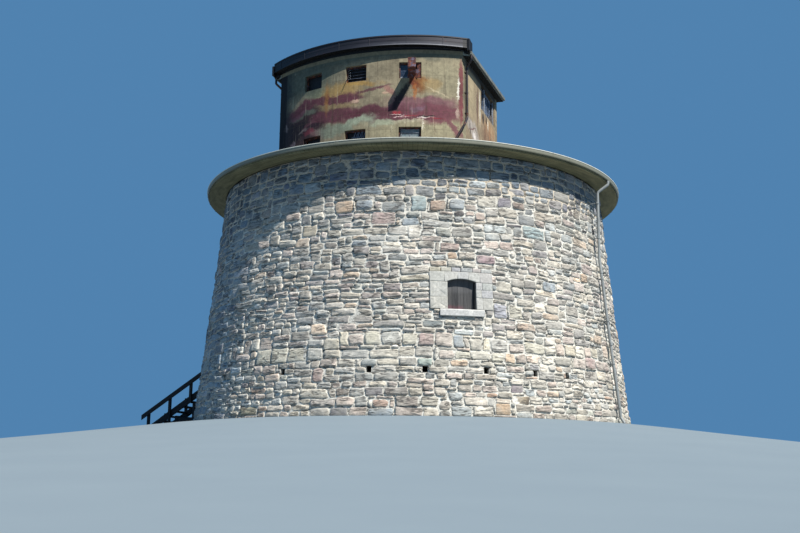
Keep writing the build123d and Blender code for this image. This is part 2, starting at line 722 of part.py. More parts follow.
rail_depth = RAIL_D / cos(radians(33.69))
with BuildPart() as stair_rails:
    for s in (-1, 1):
        with BuildSketch(stair_plane.offset(s * (half + 90 + RAIL_T / 2) - RAIL_T / 2)):
            with BuildLine():
                Polyline((7470, rail_top(7470)), (10320, rail_top(10320)),
                         (10320, rail_top(10320) - rail_depth),
                         (7470, rail_top(7470) - rail_depth), close=True)
            make_face()
        extrude(amount=RAIL_T)
stair_rails.part.label = "stair_rails"
export_step(stair_rails.part, "parts/stair_rails.step")
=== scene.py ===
import bpy
import math
import random
import numpy as np
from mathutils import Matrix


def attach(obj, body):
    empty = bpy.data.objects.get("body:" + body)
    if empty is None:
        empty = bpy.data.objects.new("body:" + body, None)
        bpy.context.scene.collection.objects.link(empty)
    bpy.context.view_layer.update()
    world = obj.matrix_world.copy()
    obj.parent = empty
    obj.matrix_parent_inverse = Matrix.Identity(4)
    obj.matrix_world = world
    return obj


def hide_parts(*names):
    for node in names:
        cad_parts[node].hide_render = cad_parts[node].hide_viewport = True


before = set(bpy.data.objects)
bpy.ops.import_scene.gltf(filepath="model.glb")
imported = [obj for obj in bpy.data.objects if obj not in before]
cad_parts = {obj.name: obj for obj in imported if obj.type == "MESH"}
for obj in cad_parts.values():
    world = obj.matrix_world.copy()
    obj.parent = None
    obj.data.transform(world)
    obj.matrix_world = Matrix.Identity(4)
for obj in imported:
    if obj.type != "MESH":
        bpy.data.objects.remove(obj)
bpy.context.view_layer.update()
SC = bpy.context.scene

# ------------------------------------------------------------------ dimensions
# metres; azimuths in degrees from -Y towards +X, as in the frame
GATE_AZ = -105.0
WIN_AZ = 11.7
VENT_Z = 1.355
VENT_AZ = [-30.9, -9.5, 3.0, 16.9, 29.4, 39.2, 62.0, 80.0, 101.0, 122.0,
           143.0, 164.0, -174.0, -153.0, -130.0, -78.0, -52.0]
TURN = math.radians(17.7)
NV = np.array([math.cos(TURN), -math.sin(TURN), 0.0])     # post: to its right
UV = np.array([math.sin(TURN), math.cos(TURN), 0.0])      # post: to its back
MORTAR_IN = 0.048        # mortar surface behind the wall's nominal face


def R_of(z):
    return 7.62 - 0.1135 * z + 0.0019 * z * z


def cyl(az, r, z):
    a = math.radians(az)
    return np.array([r * math.sin(a), -r * math.cos(a), z])


def srgb(r, g, b):
    def f(c):
        c = c / 255.0
        return c / 12.92 if c <= 0.04045 else ((c + 0.055) / 1.055) ** 2.4
    return (f(r), f(g), f(b), 1.0)


# ----------------------------------------------------------------- value noise
def vnoise(x, y, z=0.0, seed=0):
    x, y, z = np.broadcast_arrays(np.asarray(x, float), np.asarray(y, float), np.asarray(z, float))
    xi, yi, zi = np.floor(x).astype(np.int64), np.floor(y).astype(np.int64), np.floor(z).astype(np.int64)
    fx, fy, fz = x - xi, y - yi, z - zi
    fx, fy, fz = [t * t * (3 - 2 * t) for t in (fx, fy, fz)]

    def h(i, j, k):
        n = (i * 374761393 + j * 668265263 + k * 1442695041 + seed * 1274126177) & 0xffffffff
        n = ((n ^ (n >> 13)) * 1274126177) & 0xffffffff
        n = n ^ (n >> 16)
        return (n & 0xffff) / 32767.5 - 1.0
    out = 0.0
    for dx in (0, 1):
        for dy in (0, 1):
            for dz in (0, 1):
                wt = (fx if dx else 1 - fx) * (fy if dy else 1 - fy) * (fz if dz else 1 - fz)
                out = out + wt * h(xi + dx, yi + dy, zi + dz)
    return out


# -------------------------------------------------------------- mesh assembly
class Build:
    """Gathers vertices, faces and point attributes, then makes one piece."""

    def __init__(self):
        self.v, self.f, self.m, self.n = [], [], [], 0
        self.a = {}

    def add(self, verts, faces, mat=0, **attrs):
        verts = np.asarray(verts, float).reshape(-1, 3)
        k = self.n
        self.v.append(verts)
        self.f.extend([tuple(i + k for i in f) for f in faces])
        self.m.extend([mat] * len(faces))
        self.n += len(verts)
        for key, val in attrs.items():
            val = np.asarray(val, float)
            if val.ndim <= 1 and val.size in (3, 4) and key == "tint":
                val = np.tile(np.append(val[:3], 1.0), (len(verts), 1))
            elif val.ndim == 0:
                val = np.full(len(verts), float(val))
            self.a.setdefault(key, []).append(val)

    def make(self, name, mats, slot=None, smooth=True, replaces=(), sharp=None):
        me = bpy.data.meshes.new(name)
        v = np.concatenate(self.v)
        me.from_pydata(v.tolist(), [], self.f)
        me.update()
        for key, parts in self.a.items():
            val = np.concatenate(parts)
            if val.ndim == 2:
                at = me.attributes.new(key, 'FLOAT_COLOR', 'POINT')
                at.data.foreach_set("color", val.astype(np.float32).ravel())
            else:
                at = me.attributes.new(key, 'FLOAT', 'POINT')
                at.data.foreach_set("value", val.astype(np.float32).ravel())
        for mt in (mats if isinstance(mats, (list, tuple)) else [mats]):
            me.materials.append(mt)
        me.polygons.foreach_set("material_index", np.array(self.m, dtype=np.int32))
        me.polygons.foreach_set("use_smooth", np.full(len(me.polygons), bool(smooth)))
        me.validate()
        ob = bpy.data.objects.new(name, me)
        SC.collection.objects.link(ob)
        if smooth and sharp is not None:
            me.set_sharp_from_angle(angle=math.radians(sharp))
        if replaces:
            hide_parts(*replaces)
        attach(ob, "root")
        return ob


BOX_FACES = [(0, 3, 2, 1), (4, 5, 6, 7), (0, 1, 5, 4), (1, 2, 6, 5), (2, 3, 7, 6), (3, 0, 4, 7)]


def box_pts(cx, cy, cz, hx, hy, hz):
    return np.array([[cx + sx * hx, cy + sy * hy, cz + sz * hz]
                     for sz in (-1, 1) for sx, sy in ((-1, -1), (1, -1), (1, 1), (-1, 1))])


def slab(B, o, ex, ey, ez, sx, sy, sz, bev=0.004, mat=0, wob=0.0, seed=0, **attrs):
    """A bevelled board: centre o, unit axes ex, ey, ez, full sizes sx, sy, sz."""
    o, ex, ey, ez = [np.asarray(t, float) for t in (o, ex, ey, ez)]
    hx, hy, hz = sx / 2, sy / 2, sz / 2
    b = min(bev, 0.3 * min(hx, hy, hz) * 2)
    loops = []
    for z, inset in ((-hz, b), (-hz + b, 0), (hz - b, 0), (hz, b)):
        ring = []
        for qx, qy in ((-1, -1), (1, -1), (1, 1), (-1, 1)):
            # eight corners a loop, so that the upright edges are eased too
            x0, y0 = qx * (hx - inset), qy * (hy - inset)
            if qx * qy > 0:
                ring += [(x0, y0 - qy * b, z), (x0 - qx * b, y0, z)]
            else:
                ring += [(x0 - qx * b, y0, z), (x0, y0 - qy * b, z)]
        loops.append(ring)
    pts = np.array(loops).reshape(-1, 3)
    if wob:
        rs = np.random.RandomState(seed)
        pts = pts + rs.uniform(-wob, wob, pts.shape)
    world = o + pts[:, :1] * ex + pts[:, 1:2] * ey + pts[:, 2:3] * ez
    faces = [tuple(range(7, -1, -1)), tuple(range(24, 32))]
    for k in range(3):
        for i in range(8):
            j = (i + 1) % 8
            faces.append((8 * k + i, 8 * k + j, 8 * k + 8 + j, 8 * k + 8 + i))
    B.add(world, faces, mat, **attrs)


def disc_head(B, o, axis, rad, hgt, sides=8, mat=0, **attrs):
    """A domed bolt or rivet head on a surface."""
    o = np.asarray(o, float)
    axis = np.asarray(axis, float) / np.linalg.norm(axis)
    t = np.cross(axis, (0, 0, 1.0))
    if np.linalg.norm(t) < 0.1:
        t = np.cross(axis, (0, 1.0, 0))
    t /= np.linalg.norm(t)
    s = np.cross(axis, t)
    pts = []
    for rr, hh in ((1.0, -0.15), (1.0, 0.45), (0.62, 0.9)):
        for i in range(sides):
            a = 2 * math.pi * i / sides
            pts.append(o + rad * rr * (math.cos(a) * t + math.sin(a) * s) + axis * hgt * hh)
    pts.append(o + axis * hgt)
    faces = []
    for k in range(2):
        for i in range(sides):
            j = (i + 1) % sides
            faces.append((k * sides + i, k * sides + j, (k + 1) * sides + j, (k + 1) * sides + i))
    for i in range(sides):
        faces.append((2 * sides + i, 2 * sides + (i + 1) % sides, 3 * sides))
    faces.append(tuple(range(sides - 1, -1, -1)))
    B.add(pts, faces, mat, **attrs)


def arc_sweep(B, profile, a0, a1, n, mat=0, closed=False, wob=None, **attrs):
    """A closed (r, z) profile swept about the tower's axis from azimuth a0 to a1."""
    k = len(profile)
    ring_n = n if closed else n + 1
    pts = np.zeros((ring_n, k, 3))
    for i in range(ring_n):
        az = a0 + (a1 - a0) * i / n
        for j, (r, z) in enumerate(profile):
            dr, dz = (wob(az, j) if wob else (0.0, 0.0))
            pts[i, j] = cyl(az, r + dr, z + dz)
    faces = []
    for i in range(n):
        i2 = (i + 1) % ring_n
        for j in range(k):
            j2 = (j + 1) % k
            faces.append((i * k + j, i2 * k + j, i2 * k + j2, i * k + j2))
    if not closed:
        faces.append(tuple(range(k)))
        faces.append(tuple(n * k + j for j in range(k - 1, -1, -1)))
    B.add(pts.reshape(-1, 3), faces, mat, **attrs)


def tube(B, path, rad, sides=12, mat=0, caps=True, **attrs):
    """A round tube along points (parallel transport frame)."""
    P = [np.asarray(p, float) for p in path]
    t0 = P[1] - P[0]
    t0 /= np.linalg.norm(t0)
    nrm = np.cross(t0, (0.31, 0.95, 0.05))
    nrm /= np.linalg.norm(nrm)
    pts = []
    for i, p in enumerate(P):
        a = P[max(i - 1, 0)]
        b = P[min(i + 1, len(P) - 1)]
        t = b - a
        t /= np.linalg.norm(t)
        nrm = nrm - t * np.dot(nrm, t)
        nrm /= np.linalg.norm(nrm)
        bi = np.cross(t, nrm)
        rr = rad[i] if isinstance(rad, (list, tuple)) else rad
        for k in range(sides):
            a_ = 2 * math.pi * k / sides
            pts.append(p + rr * (math.cos(a_) * nrm + math.sin(a_) * bi))
    faces = []
    for i in range(len(P) - 1):
        for k in range(sides):
            k2 = (k + 1) % sides
            faces.append((i * sides + k, i * sides + k2, (i + 1) * sides + k2, (i + 1) * sides + k))
    if caps:
        faces.append(tuple(range(sides - 1, -1, -1)))
        faces.append(tuple((len(P) - 1) * sides + k for k in range(sides)))
    B.add(pts, faces, mat, **attrs)


# ---------------------------------------------------------------- node helpers
class Mat:
    def __init__(self, name, rough=0.85, metallic=0.0, spec=0.35):
        self.m = bpy.data.materials.new(name)
        self.m.use_nodes = True
        self.nt = self.m.node_tree
        self.nt.nodes.clear()
        self.out = self.nt.nodes.new('ShaderNodeOutputMaterial')
        self.b = self.nt.nodes.new('ShaderNodeBsdfPrincipled')
        self.nt.links.new(self.b.outputs[0], self.out.inputs[0])
        self.b.inputs['Roughness'].default_value = rough
        self.b.inputs['Metallic'].default_value = metallic
        self.b.inputs['Specular IOR Level'].default_value = spec
        self.co = self.nt.nodes.new('ShaderNodeNewGeometry').outputs['Position']

    def put(self, val, sock):
        if hasattr(val, 'is_linked') or hasattr(val, 'links'):
            self.nt.links.new(val, sock)
        elif isinstance(val, (tuple, list)) and len(val) == 3 and sock.type == 'RGBA':
            sock.default_value = (*val, 1.0)
        elif isinstance(val, (tuple, list)) and len(val) == 4 and sock.type == 'VECTOR':
            sock.default_value = val[:3]
        else:
            sock.default_value = val

    def node(self, kind, **props):
        n = self.nt.nodes.new(kind)
        for k, v in props.items():
            setattr(n, k, v)
        return n

    def noise(self, scale, detail=2.0, rough=0.5, vec=None, dist=0.0, out='Fac', **kw):
        n = self.node('ShaderNodeTexNoise')
        self.put(vec if vec is not None else self.co, n.inputs['Vector'])
        n.inputs['Scale'].default_value = scale
        n.inputs['Detail'].default_value = detail
        n.inputs['Roughness'].default_value = rough
        n.inputs['Distortion'].default_value = dist
        return n.outputs[out]

    def voro(self, scale, vec=None, feature='F1', rand=1.0, out='Distance'):
        n = self.node('ShaderNodeTexVoronoi', feature=feature)
        self.put(vec if vec is not None else self.co, n.inputs['Vector'])
        n.inputs['Scale'].default_value = scale
        n.inputs['Randomness'].default_value = rand
        return n.outputs[out]

    def map(self, vec=None, loc=(0, 0, 0), rot=(0, 0, 0), scale=(1, 1, 1), kind='POINT'):
        n = self.node('ShaderNodeMapping', vector_type=kind)
        self.put(vec if vec is not None else self.co, n.inputs['Vector'])
        n.inputs['Location'].default_value = loc
        n.inputs['Rotation'].default_value = rot
        n.inputs['Scale'].default_value = scale
        return n.outputs[0]

    def math(self, op, a, b=0.0, c=None, clamp=False):
        n = self.node('ShaderNodeMath', operation=op, use_clamp=clamp)
        self.put(a, n.inputs[0])
        self.put(b, n.inputs[1])
        if c is not None:
            self.put(c, n.inputs[2])
        return n.outputs[0]

    def vmath(self, op, a, b=None, out=0):
        n = self.node('ShaderNodeVectorMath', operation=op)
        self.put(a, n.inputs[0])
        if b is not None:
            self.put(b, n.inputs[1])
        return n.outputs[out]

    def ramp(self, fac, stops, interp='LINEAR'):
        n = self.node('ShaderNodeValToRGB')
        n.color_ramp.interpolation = interp
        while len(n.color_ramp.elements) < len(stops):
            n.color_ramp.elements.new(0.5)
        for e, (p, c) in zip(n.color_ramp.elements, stops):
            e.position = p
            e.color = c if len(c) == 4 else (*c, 1.0)
        self.put(fac, n.inputs[0])
        return n.outputs[0]

    def rng(self, fac, a, b, c=0.0, d=1.0, smooth=True):
        n = self.node('ShaderNodeMapRange', clamp=True)
        n.interpolation_type = 'SMOOTHSTEP' if smooth else 'LINEAR'
        self.put(fac, n.inputs['Value'])
        n.inputs['From Min'].default_value = a
        n.inputs['From Max'].default_value = b
        n.inputs['To Min'].default_value = c
        n.inputs['To Max'].default_value = d
        return n.outputs['Result']

    def mix(self, fac, a, b, blend='MIX'):
        n = self.node('ShaderNodeMix', data_type='RGBA', blend_type=blend, clamp_factor=True)
        self.put(fac, n.inputs[0])
        self.put(a, n.inputs[6])
        self.put(b, n.inputs[7])
        return n.outputs[2]

    def attr(self, name, out='Color'):
        n = self.node('ShaderNodeAttribute', attribute_type='GEOMETRY', attribute_name=name)
        return n.outputs[out]

    def sep(self, vec=None):
        n = self.node('ShaderNodeSeparateXYZ')
        self.put(vec if vec is not None else self.co, n.inputs[0])
        return n.outputs

    def comb(self, x=0.0, y=0.0, z=0.0):
        n = self.node('ShaderNodeCombineXYZ')
        for v, s in zip((x, y, z), n.inputs):
            self.put(v, s)
        return n.outputs[0]

    def bump(self, height, strength=0.5, distance=0.01, normal=None):
        n = self.node('ShaderNodeBump')
        n.inputs['Strength'].default_value = strength
        n.inputs['Distance'].default_value = distance
        self.put(height, n.inputs['Height'])
        if normal is not None:
            self.put(normal, n.inputs['Normal'])
        return n.outputs[0]

    def colour(self, c):
        self.put(c, self.b.inputs['Base Color'])

    def rough(self, r):
        self.put(r, self.b.inputs['Roughness'])

    def normal(self, n):
        self.put(n, self.b.inputs['Normal'])

    def bright(self, col, fac, lo, hi):
        """col times a factor between lo and hi."""
        g = self.rng(fac, 0.25, 0.75, lo, hi, smooth=False)
        n = self.node('ShaderNodeVectorMath', operation='SCALE')
        self.put(col, n.inputs[0])
        self.put(g, n.inputs['Scale'])
        return n.outputs[0]

    def azimuth(self, radius):
        """Arc length round the axis at that radius."""
        s = self.sep()
        y = self.math('MULTIPLY', s[1], -1.0)
        return self.math('MULTIPLY', self.math('ARCTAN2', s[0], y), radius)

    def line(self, coord, pitch, width, soft=0.5):
        """1 on thin lines every pitch along coord, 0 elsewhere."""
        p = self.math('PINGPONG', coord, pitch / 2)
        return self.rng(p, width, width * (1 + soft) + 0.0005, 1.0, 0.0)


# ==================================================================== materials
def mat_stone(name, smear=True, dressed=False):
    M = Mat(name, rough=0.9, spec=0.25)
    tint = M.attr('tint')
    edge = M.attr('edge', 'Fac')
    warp = M.noise(2.2, 2, vec=M.co, out='Color')
    co2 = M.vmath('ADD', M.co, M.vmath('MULTIPLY', warp, (0.12, 0.12, 0.12)))
    big = M.noise(1.1, 3, 0.55)
    mid = M.noise(17, 5, 0.62, vec=co2)
    fine = M.noise(95, 4, 0.7)
    beds = M.noise(7, 4, 0.62, vec=M.map(scale=(0.55, 0.55, 2.7)), dist=0.5)
    beds2 = M.noise(7, 3, 0.6, vec=M.map(loc=(4, 9, 1), scale=(0.8, 0.8, 5.2)), dist=0.4)
    c = M.bright(tint, big, 0.92 if not dressed else 0.88, 1.15 if not dressed else 1.10)
    c = M.bright(c, mid, 0.70 if dressed else 0.74, 1.24 if dressed else 1.33)
    if not dressed:
        same = M.rng(M.noise(2.6, 3, 0.6, vec=M.map(loc=(2, 6, 3))), 0.42, 0.62, 0.0, 0.42)
        c = M.mix(same, c, M.mix(M.noise(1.3, 2), srgb(152, 150, 145), srgb(176, 170, 157)))
        c = M.bright(c, beds2, 0.84, 1.14)
    c = M.bright(c, beds, 0.62 if not dressed else 0.94, 1.30 if not dressed else 1.05)
    if not dressed:
        fb = M.noise(1.0, 4, 0.65, vec=M.map(co2, scale=(6, 6, 42)))
        c = M.bright(c, fb, 0.80, 1.16)
        crack = M.rng(M.noise(1.0, 3, 0.6, vec=M.map(co2, loc=(5, 2, 7), scale=(3.0, 3.0, 19))), 0.63, 0.68)
        c = M.mix(M.math('MULTIPLY', crack, 0.80), c, srgb(58, 55, 53))
        # thin splits along the bed, in patches
        cl = M.noise(1.0, 3, 0.55, vec=M.map(co2, loc=(1, 8, 3), scale=(1.5, 1.5, 8.5)))
        split = M.rng(M.math('ABSOLUTE', M.math('SUBTRACT', cl, 0.5)), 0.045, 0.018)
        split = M.math('MULTIPLY', split, M.rng(M.noise(1.4, 2, vec=M.map(loc=(8, 1, 5))), 0.44, 0.54))
        c = M.mix(M.math('MULTIPLY', split, 0.66), c, srgb(54, 52, 52))
    c = M.bright(c, fine, 0.86, 1.12)
    # dark mineral crust and pale lichen
    crust = M.rng(M.noise(6.0, 6, 0.68, vec=co2), 0.60, 0.72)
    c = M.mix(M.math('MULTIPLY', crust, 0.42), c, srgb(82, 80, 74))
    lich = M.rng(M.noise(11.0, 5, 0.6, vec=M.map(loc=(3.1, 1.7, 9.2))), 0.66, 0.74)
    c = M.mix(M.math('MULTIPLY', lich, 0.5), c, srgb(206, 202, 178))
    och = M.rng(M.noise(5.0, 5, 0.65, vec=M.map(loc=(13.1, 5.7, 2.2))), 0.70, 0.78)
    c = M.mix(M.math('MULTIPLY', och, 0.45), c, srgb(190, 140, 84))
    if smear:
        sm = M.math('ADD', edge, M.math('MULTIPLY', M.math('SUBTRACT', M.noise(24, 4, 0.6), 0.5), 0.9))
        k = M.rng(sm, 0.46, 0.10, 0.0, 0.85)
        c = M.mix(k, c, M.bright(srgb(212, 209, 200), fine, 0.84, 1.08))
    if dressed:
        # painted shade: the faces inside the window reveal are darkened towards the opening
        a = math.radians(WIN_AZ)
        tt = M.math('ABSOLUTE', M.vmath('DOT_PRODUCT', M.co, (math.cos(a), math.sin(a), 0.0), out=1))
        dd = M.vmath('DOT_PRODUCT', M.co, (math.sin(a), -math.cos(a), 0.0), out=1)
        zz = M.sep()[2]
        gap = M.math('SUBTRACT', M.math('MULTIPLY_ADD', zz, -0.1025, 7.60), dd)
        reveal_painted_shade = M.math('MULTIPLY', M.rng(tt, 0.452, 0.440), M.rng(gap, 0.010, 0.035))
        reveal_painted_shade = M.math('MULTIPLY', reveal_painted_shade, M.math('MULTIPLY', M.rng(zz, 3.15, 3.17), M.rng(zz, 4.09, 4.07)))
        c = M.mix(M.math('MULTIPLY', reveal_painted_shade, 0.8), c, srgb(60, 60, 61))
    # damp darkening at the foot
    z = M.sep()[2]
    foot = M.rng(M.math('ADD', z, M.math('MULTIPLY', M.noise(1.5, 3), 0.5)), 0.75, 0.25, 0.0, 0.22)
    c = M.mix(foot, c, srgb(96, 92, 78))
    M.colour(c)
    M.rough(M.rng(fine, 0.3, 0.7, 0.82, 0.97))
    h = M.math('ADD', M.math('MULTIPLY', mid, 0.8), M.math('MULTIPLY', fine, 0.35))
    h = M.math('ADD', h, M.math('MULTIPLY', beds, 0.0 if dressed else 1.1))
    pits = M.rng(M.voro(60, vec=co2), 0.0, 0.35)
    h = M.math('ADD', h, M.math('MULTIPLY', pits, 0.25))
    if not dressed:
        h = M.math('SUBTRACT', h, M.math('MULTIPLY', split, 0.7))
    M.normal(M.bump(h, 0.75 if not dressed else 0.45, 0.014 if not dressed else 0.006))
    return M.m


def mat_mortar():
    M = Mat("lime_mortar", rough=0.95, spec=0.15)
    big = M.noise(0.9, 3)
    mid = M.noise(14, 5, 0.6)
    fine = M.noise(120, 3, 0.7)
    c = M.ramp(mid, [(0.25, srgb(160, 156, 147)), (0.5, srgb(200, 196, 186)), (0.75, srgb(224, 221, 212))])
    c = M.mix(M.rng(M.sep()[2], 6.4, 7.1, 0.0, 0.6), c, srgb(186, 166, 138))
    c = M.bright(c, big, 0.86, 1.06)
    c = M.bright(c, fine, 0.86, 1.1)
    dirt = M.rng(M.noise(4.5, 6, 0.74, vec=M.map(scale=(0.7, 0.7, 1.6))), 0.51, 0.57)
    c = M.mix(M.math('MULTIPLY', dirt, 0.78), c, srgb(58, 55, 51))
    c = M.mix(M.math('MULTIPLY', M.rng(M.noise(11, 3, 0.6, vec=M.map(loc=(8, 8, 8))), 0.60, 0.66), 0.8), c, srgb(40, 37, 34))
    # painted shade deep inside the vents and embrasures; limewashed on the inner face
    x, y, z = M.sep()
    rad = M.vmath('LENGTH', M.comb(x, y, 0.0), out=1)
    gap = M.math('SUBTRACT', M.math('MULTIPLY_ADD', z, -0.1135, 7.62), rad)
    c = M.mix(M.rng(gap, 0.07, 0.22), c, srgb(58, 52, 46))
    c = M.mix(M.rng(rad, 5.22, 5.205), c, M.bright(srgb(188, 184, 172), mid, 0.8, 1.1))
    M.colour(c)
    h = M.math('ADD', mid, M.math('MULTIPLY', fine, 0.5))
    M.normal(M.bump(h, 0.8, 0.012))
    return M.m


def mat_wood(name, base, dark, grey, amount=0.5, grain=(1, 1, 14), scale=6.0, rough=0.75, edge_wear=None):
    M = Mat(name, rough=rough, spec=0.3)
    v = M.map(scale=grain)
    g1 = M.noise(scale, 5, 0.62, vec=v, dist=1.4)
    g2 = M.noise(scale * 9, 3, 0.6, vec=v)
    c = M.ramp(g1, [(0.3, dark), (0.52, base), (0.75, base)])
    c = M.bright(c, g2, 0.8, 1.15)
    wear = M.rng(M.noise(2.3, 5, 0.65), 0.5, 0.68)
    c = M.mix(M.math('MULTIPLY', wear, amount), c, grey)
    t = M.attr('tint')
    M.colour(c)
    M.rough(M.rng(g1, 0.3, 0.7, rough - 0.1, min(rough + 0.12, 1.0)))
    M.normal(M.bump(M.math('ADD', g1, M.math('MULTIPLY', g2, 0.4)), 0.6, 0.004))
    return M.m


def mat_paint_metal(name, base, under, rust, rust_at=0.66, rough=0.45, streak=0.3, spec=0.5, metallic=0.0):
    M = Mat(name, rough=rough, spec=spec, metallic=metallic)
    n1 = M.noise(3.0, 5, 0.6)
    n2 = M.noise(30, 4, 0.65)
    st = M.noise(5, 4, 0.6, vec=M.map(scale=(5, 5, 0.35)))
    c = M.mix(M.rng(n1, 0.35, 0.7), base, under)
    c = M.bright(c, n2, 0.88, 1.1)
    c = M.bright(c, st, 1 - streak, 1 + streak * 0.5)
    rm = M.rng(M.math('ADD', M.math('MULTIPLY', n1, 0.5), M.math('MULTIPLY', n2, 0.5)), rust_at - 0.07, rust_at)
    c = M.mix(rm, c, M.mix(n2, rust, srgb(70, 38, 24)))
    M.colour(c)
    M.rough(M.rng(rm, 0.0, 1.0, rough, 0.9))
    M.normal(M.bump(M.math('ADD', n2, M.math('MULTIPLY', rm, 0.6)), 0.35, 0.003))
    return M.m


def mat_rusted(name, a=(86, 48, 38), b=(48, 30, 28), paint=(120, 104, 118), paint_amt=0.3):
    M = Mat(name, rough=0.85, spec=0.3)
    n1 = M.noise(8, 6, 0.68)
    n2 = M.noise(60, 4, 0.7)
    c = M.ramp(n1, [(0.3, srgb(*b)), (0.5, srgb(*a)), (0.66, srgb(142, 78, 44)), (0.8, srgb(*b))])
    c = M.bright(c, n2, 0.75, 1.2)
    pk = M.rng(M.noise(5, 5, 0.6, vec=M.map(loc=(4, 4, 4))), 0.52, 0.58)
    c = M.mix(M.math('MULTIPLY', pk, paint_amt), c, srgb(*paint))
    M.colour(c)
    M.normal(M.bump(M.math('ADD', n1, n2), 0.7, 0.005))
    return M.m


STONE = mat_stone("rubble_stone_faces")
DRESSED = mat_stone("dressed_stone_faces", smear=False, dressed=True)
MORTAR = mat_mortar()


# =============================================================== camera, lights
def make_camera():
    yaw, pitch, roll = math.radians(0.71), math.radians(12.06), math.radians(0.47)
    f = np.array([-math.sin(yaw) * math.cos(pitch), math.cos(yaw) * math.cos(pitch), math.sin(pitch)])
    rt = np.array([math.cos(yaw), math.sin(yaw), 0.0])
    up = np.cross(rt, f)
    rt2 = math.cos(roll) * rt + math.sin(roll) * up
    up2 = np.cross(rt2, f)
    cam = bpy.data.objects.new("camera", bpy.data.cameras.new("camera"))
    cam.data.sensor_width = 36.0
    cam.data.sensor_fit = 'HORIZONTAL'
    cam.data.lens = 45.0
    cam.data.clip_end = 500.0
    from mathutils import Matrix
    m = Matrix([[rt2[0], up2[0], -f[0], 0.0], [rt2[1], up2[1], -f[1], -35.92],
                [rt2[2], up2[2], -f[2], -1.75], [0, 0, 0, 1]])
    cam.matrix_world = m
    SC.collection.objects.link(cam)
    SC.camera = cam


def make_light():
    sun = bpy.data.lights.new("key", 'SUN')
    sun.energy = 7.6
    sun.angle = math.radians(0.7)
    sun.color = (1.0, 0.975, 0.92)
    ob = bpy.data.objects.new("key", sun)
    from mathutils import Vector
    d = Vector((0.404, -0.461, 0.790)).normalized()
    ob.rotation_mode = 'QUATERNION'
    ob.rotation_quaternion = d.to_track_quat('Z', 'Y')
    ob.location = (20, -22, 40)
    SC.collection.objects.link(ob)
    w = bpy.data.worlds.new("studio")
    SC.world = w
    w.use_nodes = True
    bg = w.node_tree.nodes["Background"]
    bg.inputs[0].default_value = (0.19, 0.52, 1.0, 1.0)
    bg.inputs[1].default_value = 0.43


def make_floor():
    """Pale ground: level under the tower and its stair, then falling away all
    round, because the camera stands lower than the tower's foot."""
    d = np.array([math.sin(math.radians(GATE_AZ)), -math.cos(math.radians(GATE_AZ))])

    def height(x, y):
        r0 = np.hypot(x, y) - 7.9
        t = np.clip(x * d[0] + y * d[1], 0, 10.4)
        r1 = np.hypot(x - t * d[0], y - t * d[1]) - 0.95
        dist = np.maximum(np.minimum(r0, r1), 0.0)
        dist = dist * dist / (dist + 0.9)
        return -3.7 * (1 - np.exp(-0.15 * dist / 3.7))
    rings = [0.0, 4.0, 7.0] + list(np.arange(7.6, 12.6, 0.35)) + [13.2, 14, 15, 16.5, 18.5, 21, 24, 28, 33, 40, 50, 65, 90, 130]
    nseg = 144
    pts, faces = [(0, 0, 0)], []
    for r in rings[1:]:
        for k in range(nseg):
            a = 2 * math.pi * k / nseg
            x, y = r * math.cos(a), r * math.sin(a)
            pts.append((x, y, float(height(x, y)) - 0.002))
    for k in range(nseg):
        faces.append((0, 1 + k, 1 + (k + 1) % nseg))
    for i in range(len(rings) - 2):
        b0 = 1 + i * nseg
        b1 = b0 + nseg
        for k in range(nseg):
            k2 = (k + 1) % nseg
            faces.append((b0 + k, b1 + k, b1 + k2, b0 + k2))
    me = bpy.data.meshes.new("ground")
    me.from_pydata([tuple(p) for p in pts], [], faces)
    me.polygons.foreach_set("use_smooth", np.ones(len(me.polygons), bool))
    M = Mat("pale_ground", rough=0.95, spec=0.1)
    n = M.noise(0.6, 4)
    M.colour(M.mix(n, srgb(111, 122, 129), srgb(117, 128, 134)))
    me.materials.append(M.m)
    ob = bpy.data.objects.new("ground", me)
    SC.collection.objects.link(ob)


make_camera()
make_light()
make_floor()
SC.view_settings.view_transform = 'Standard'


# ============================================================= mortar of walls
WALLS = ["drum_wall_%02d" % k for k in range(1, 7)] + [
    "drum_wall_below_door", "drum_wall_beside_door", "drum_wall_over_door",
    "drum_wall_below_window", "drum_wall_beside_window", "drum_wall_over_window"]


def node_mesh(name):
    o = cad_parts[name]
    me = o.data
    v = np.zeros(len(me.vertices) * 3)
    me.vertices.foreach_get("co", v)
    v = v.reshape(-1, 3)
    mw = np.array(o.matrix_world)
    v = v @ mw[:3, :3].T + mw[:3, 3]
    f = [tuple(p.vertices) for p in me.polygons]
    return v, f


def weld(v, f, tol=1e-4):
    key = np.round(v / tol).astype(np.int64)
    _, idx, inv = np.unique(key, axis=0, return_index=True, return_inverse=True)
    inv = inv.reshape(-1)
    faces = []
    for p in f:
        q = []
        for i in p:
            j = int(inv[i])
            if not q or q[-1] != j:
                q.append(j)
        if len(q) > 2 and q[0] == q[-1]:
            q.pop()
        if len(set(q)) > 2:
            faces.append(tuple(q))
    return v[idx], faces


for w in WALLS:
    v, f = weld(*node_mesh(w))
    r = np.hypot(v[:, 0], v[:, 1])
    outer = r > R_of(v[:, 2]) - 0.012
    k = np.where(outer, (R_of(v[:, 2]) - MORTAR_IN) / r, 1.0)
    v[:, 0] *= k
    v[:, 1] *= k
    B = Build()
    B.add(v, f)
    B.make(w.replace("drum_wall", "wall_core"), MORTAR, slot="rubble_stone", replaces=[w], sharp=30)


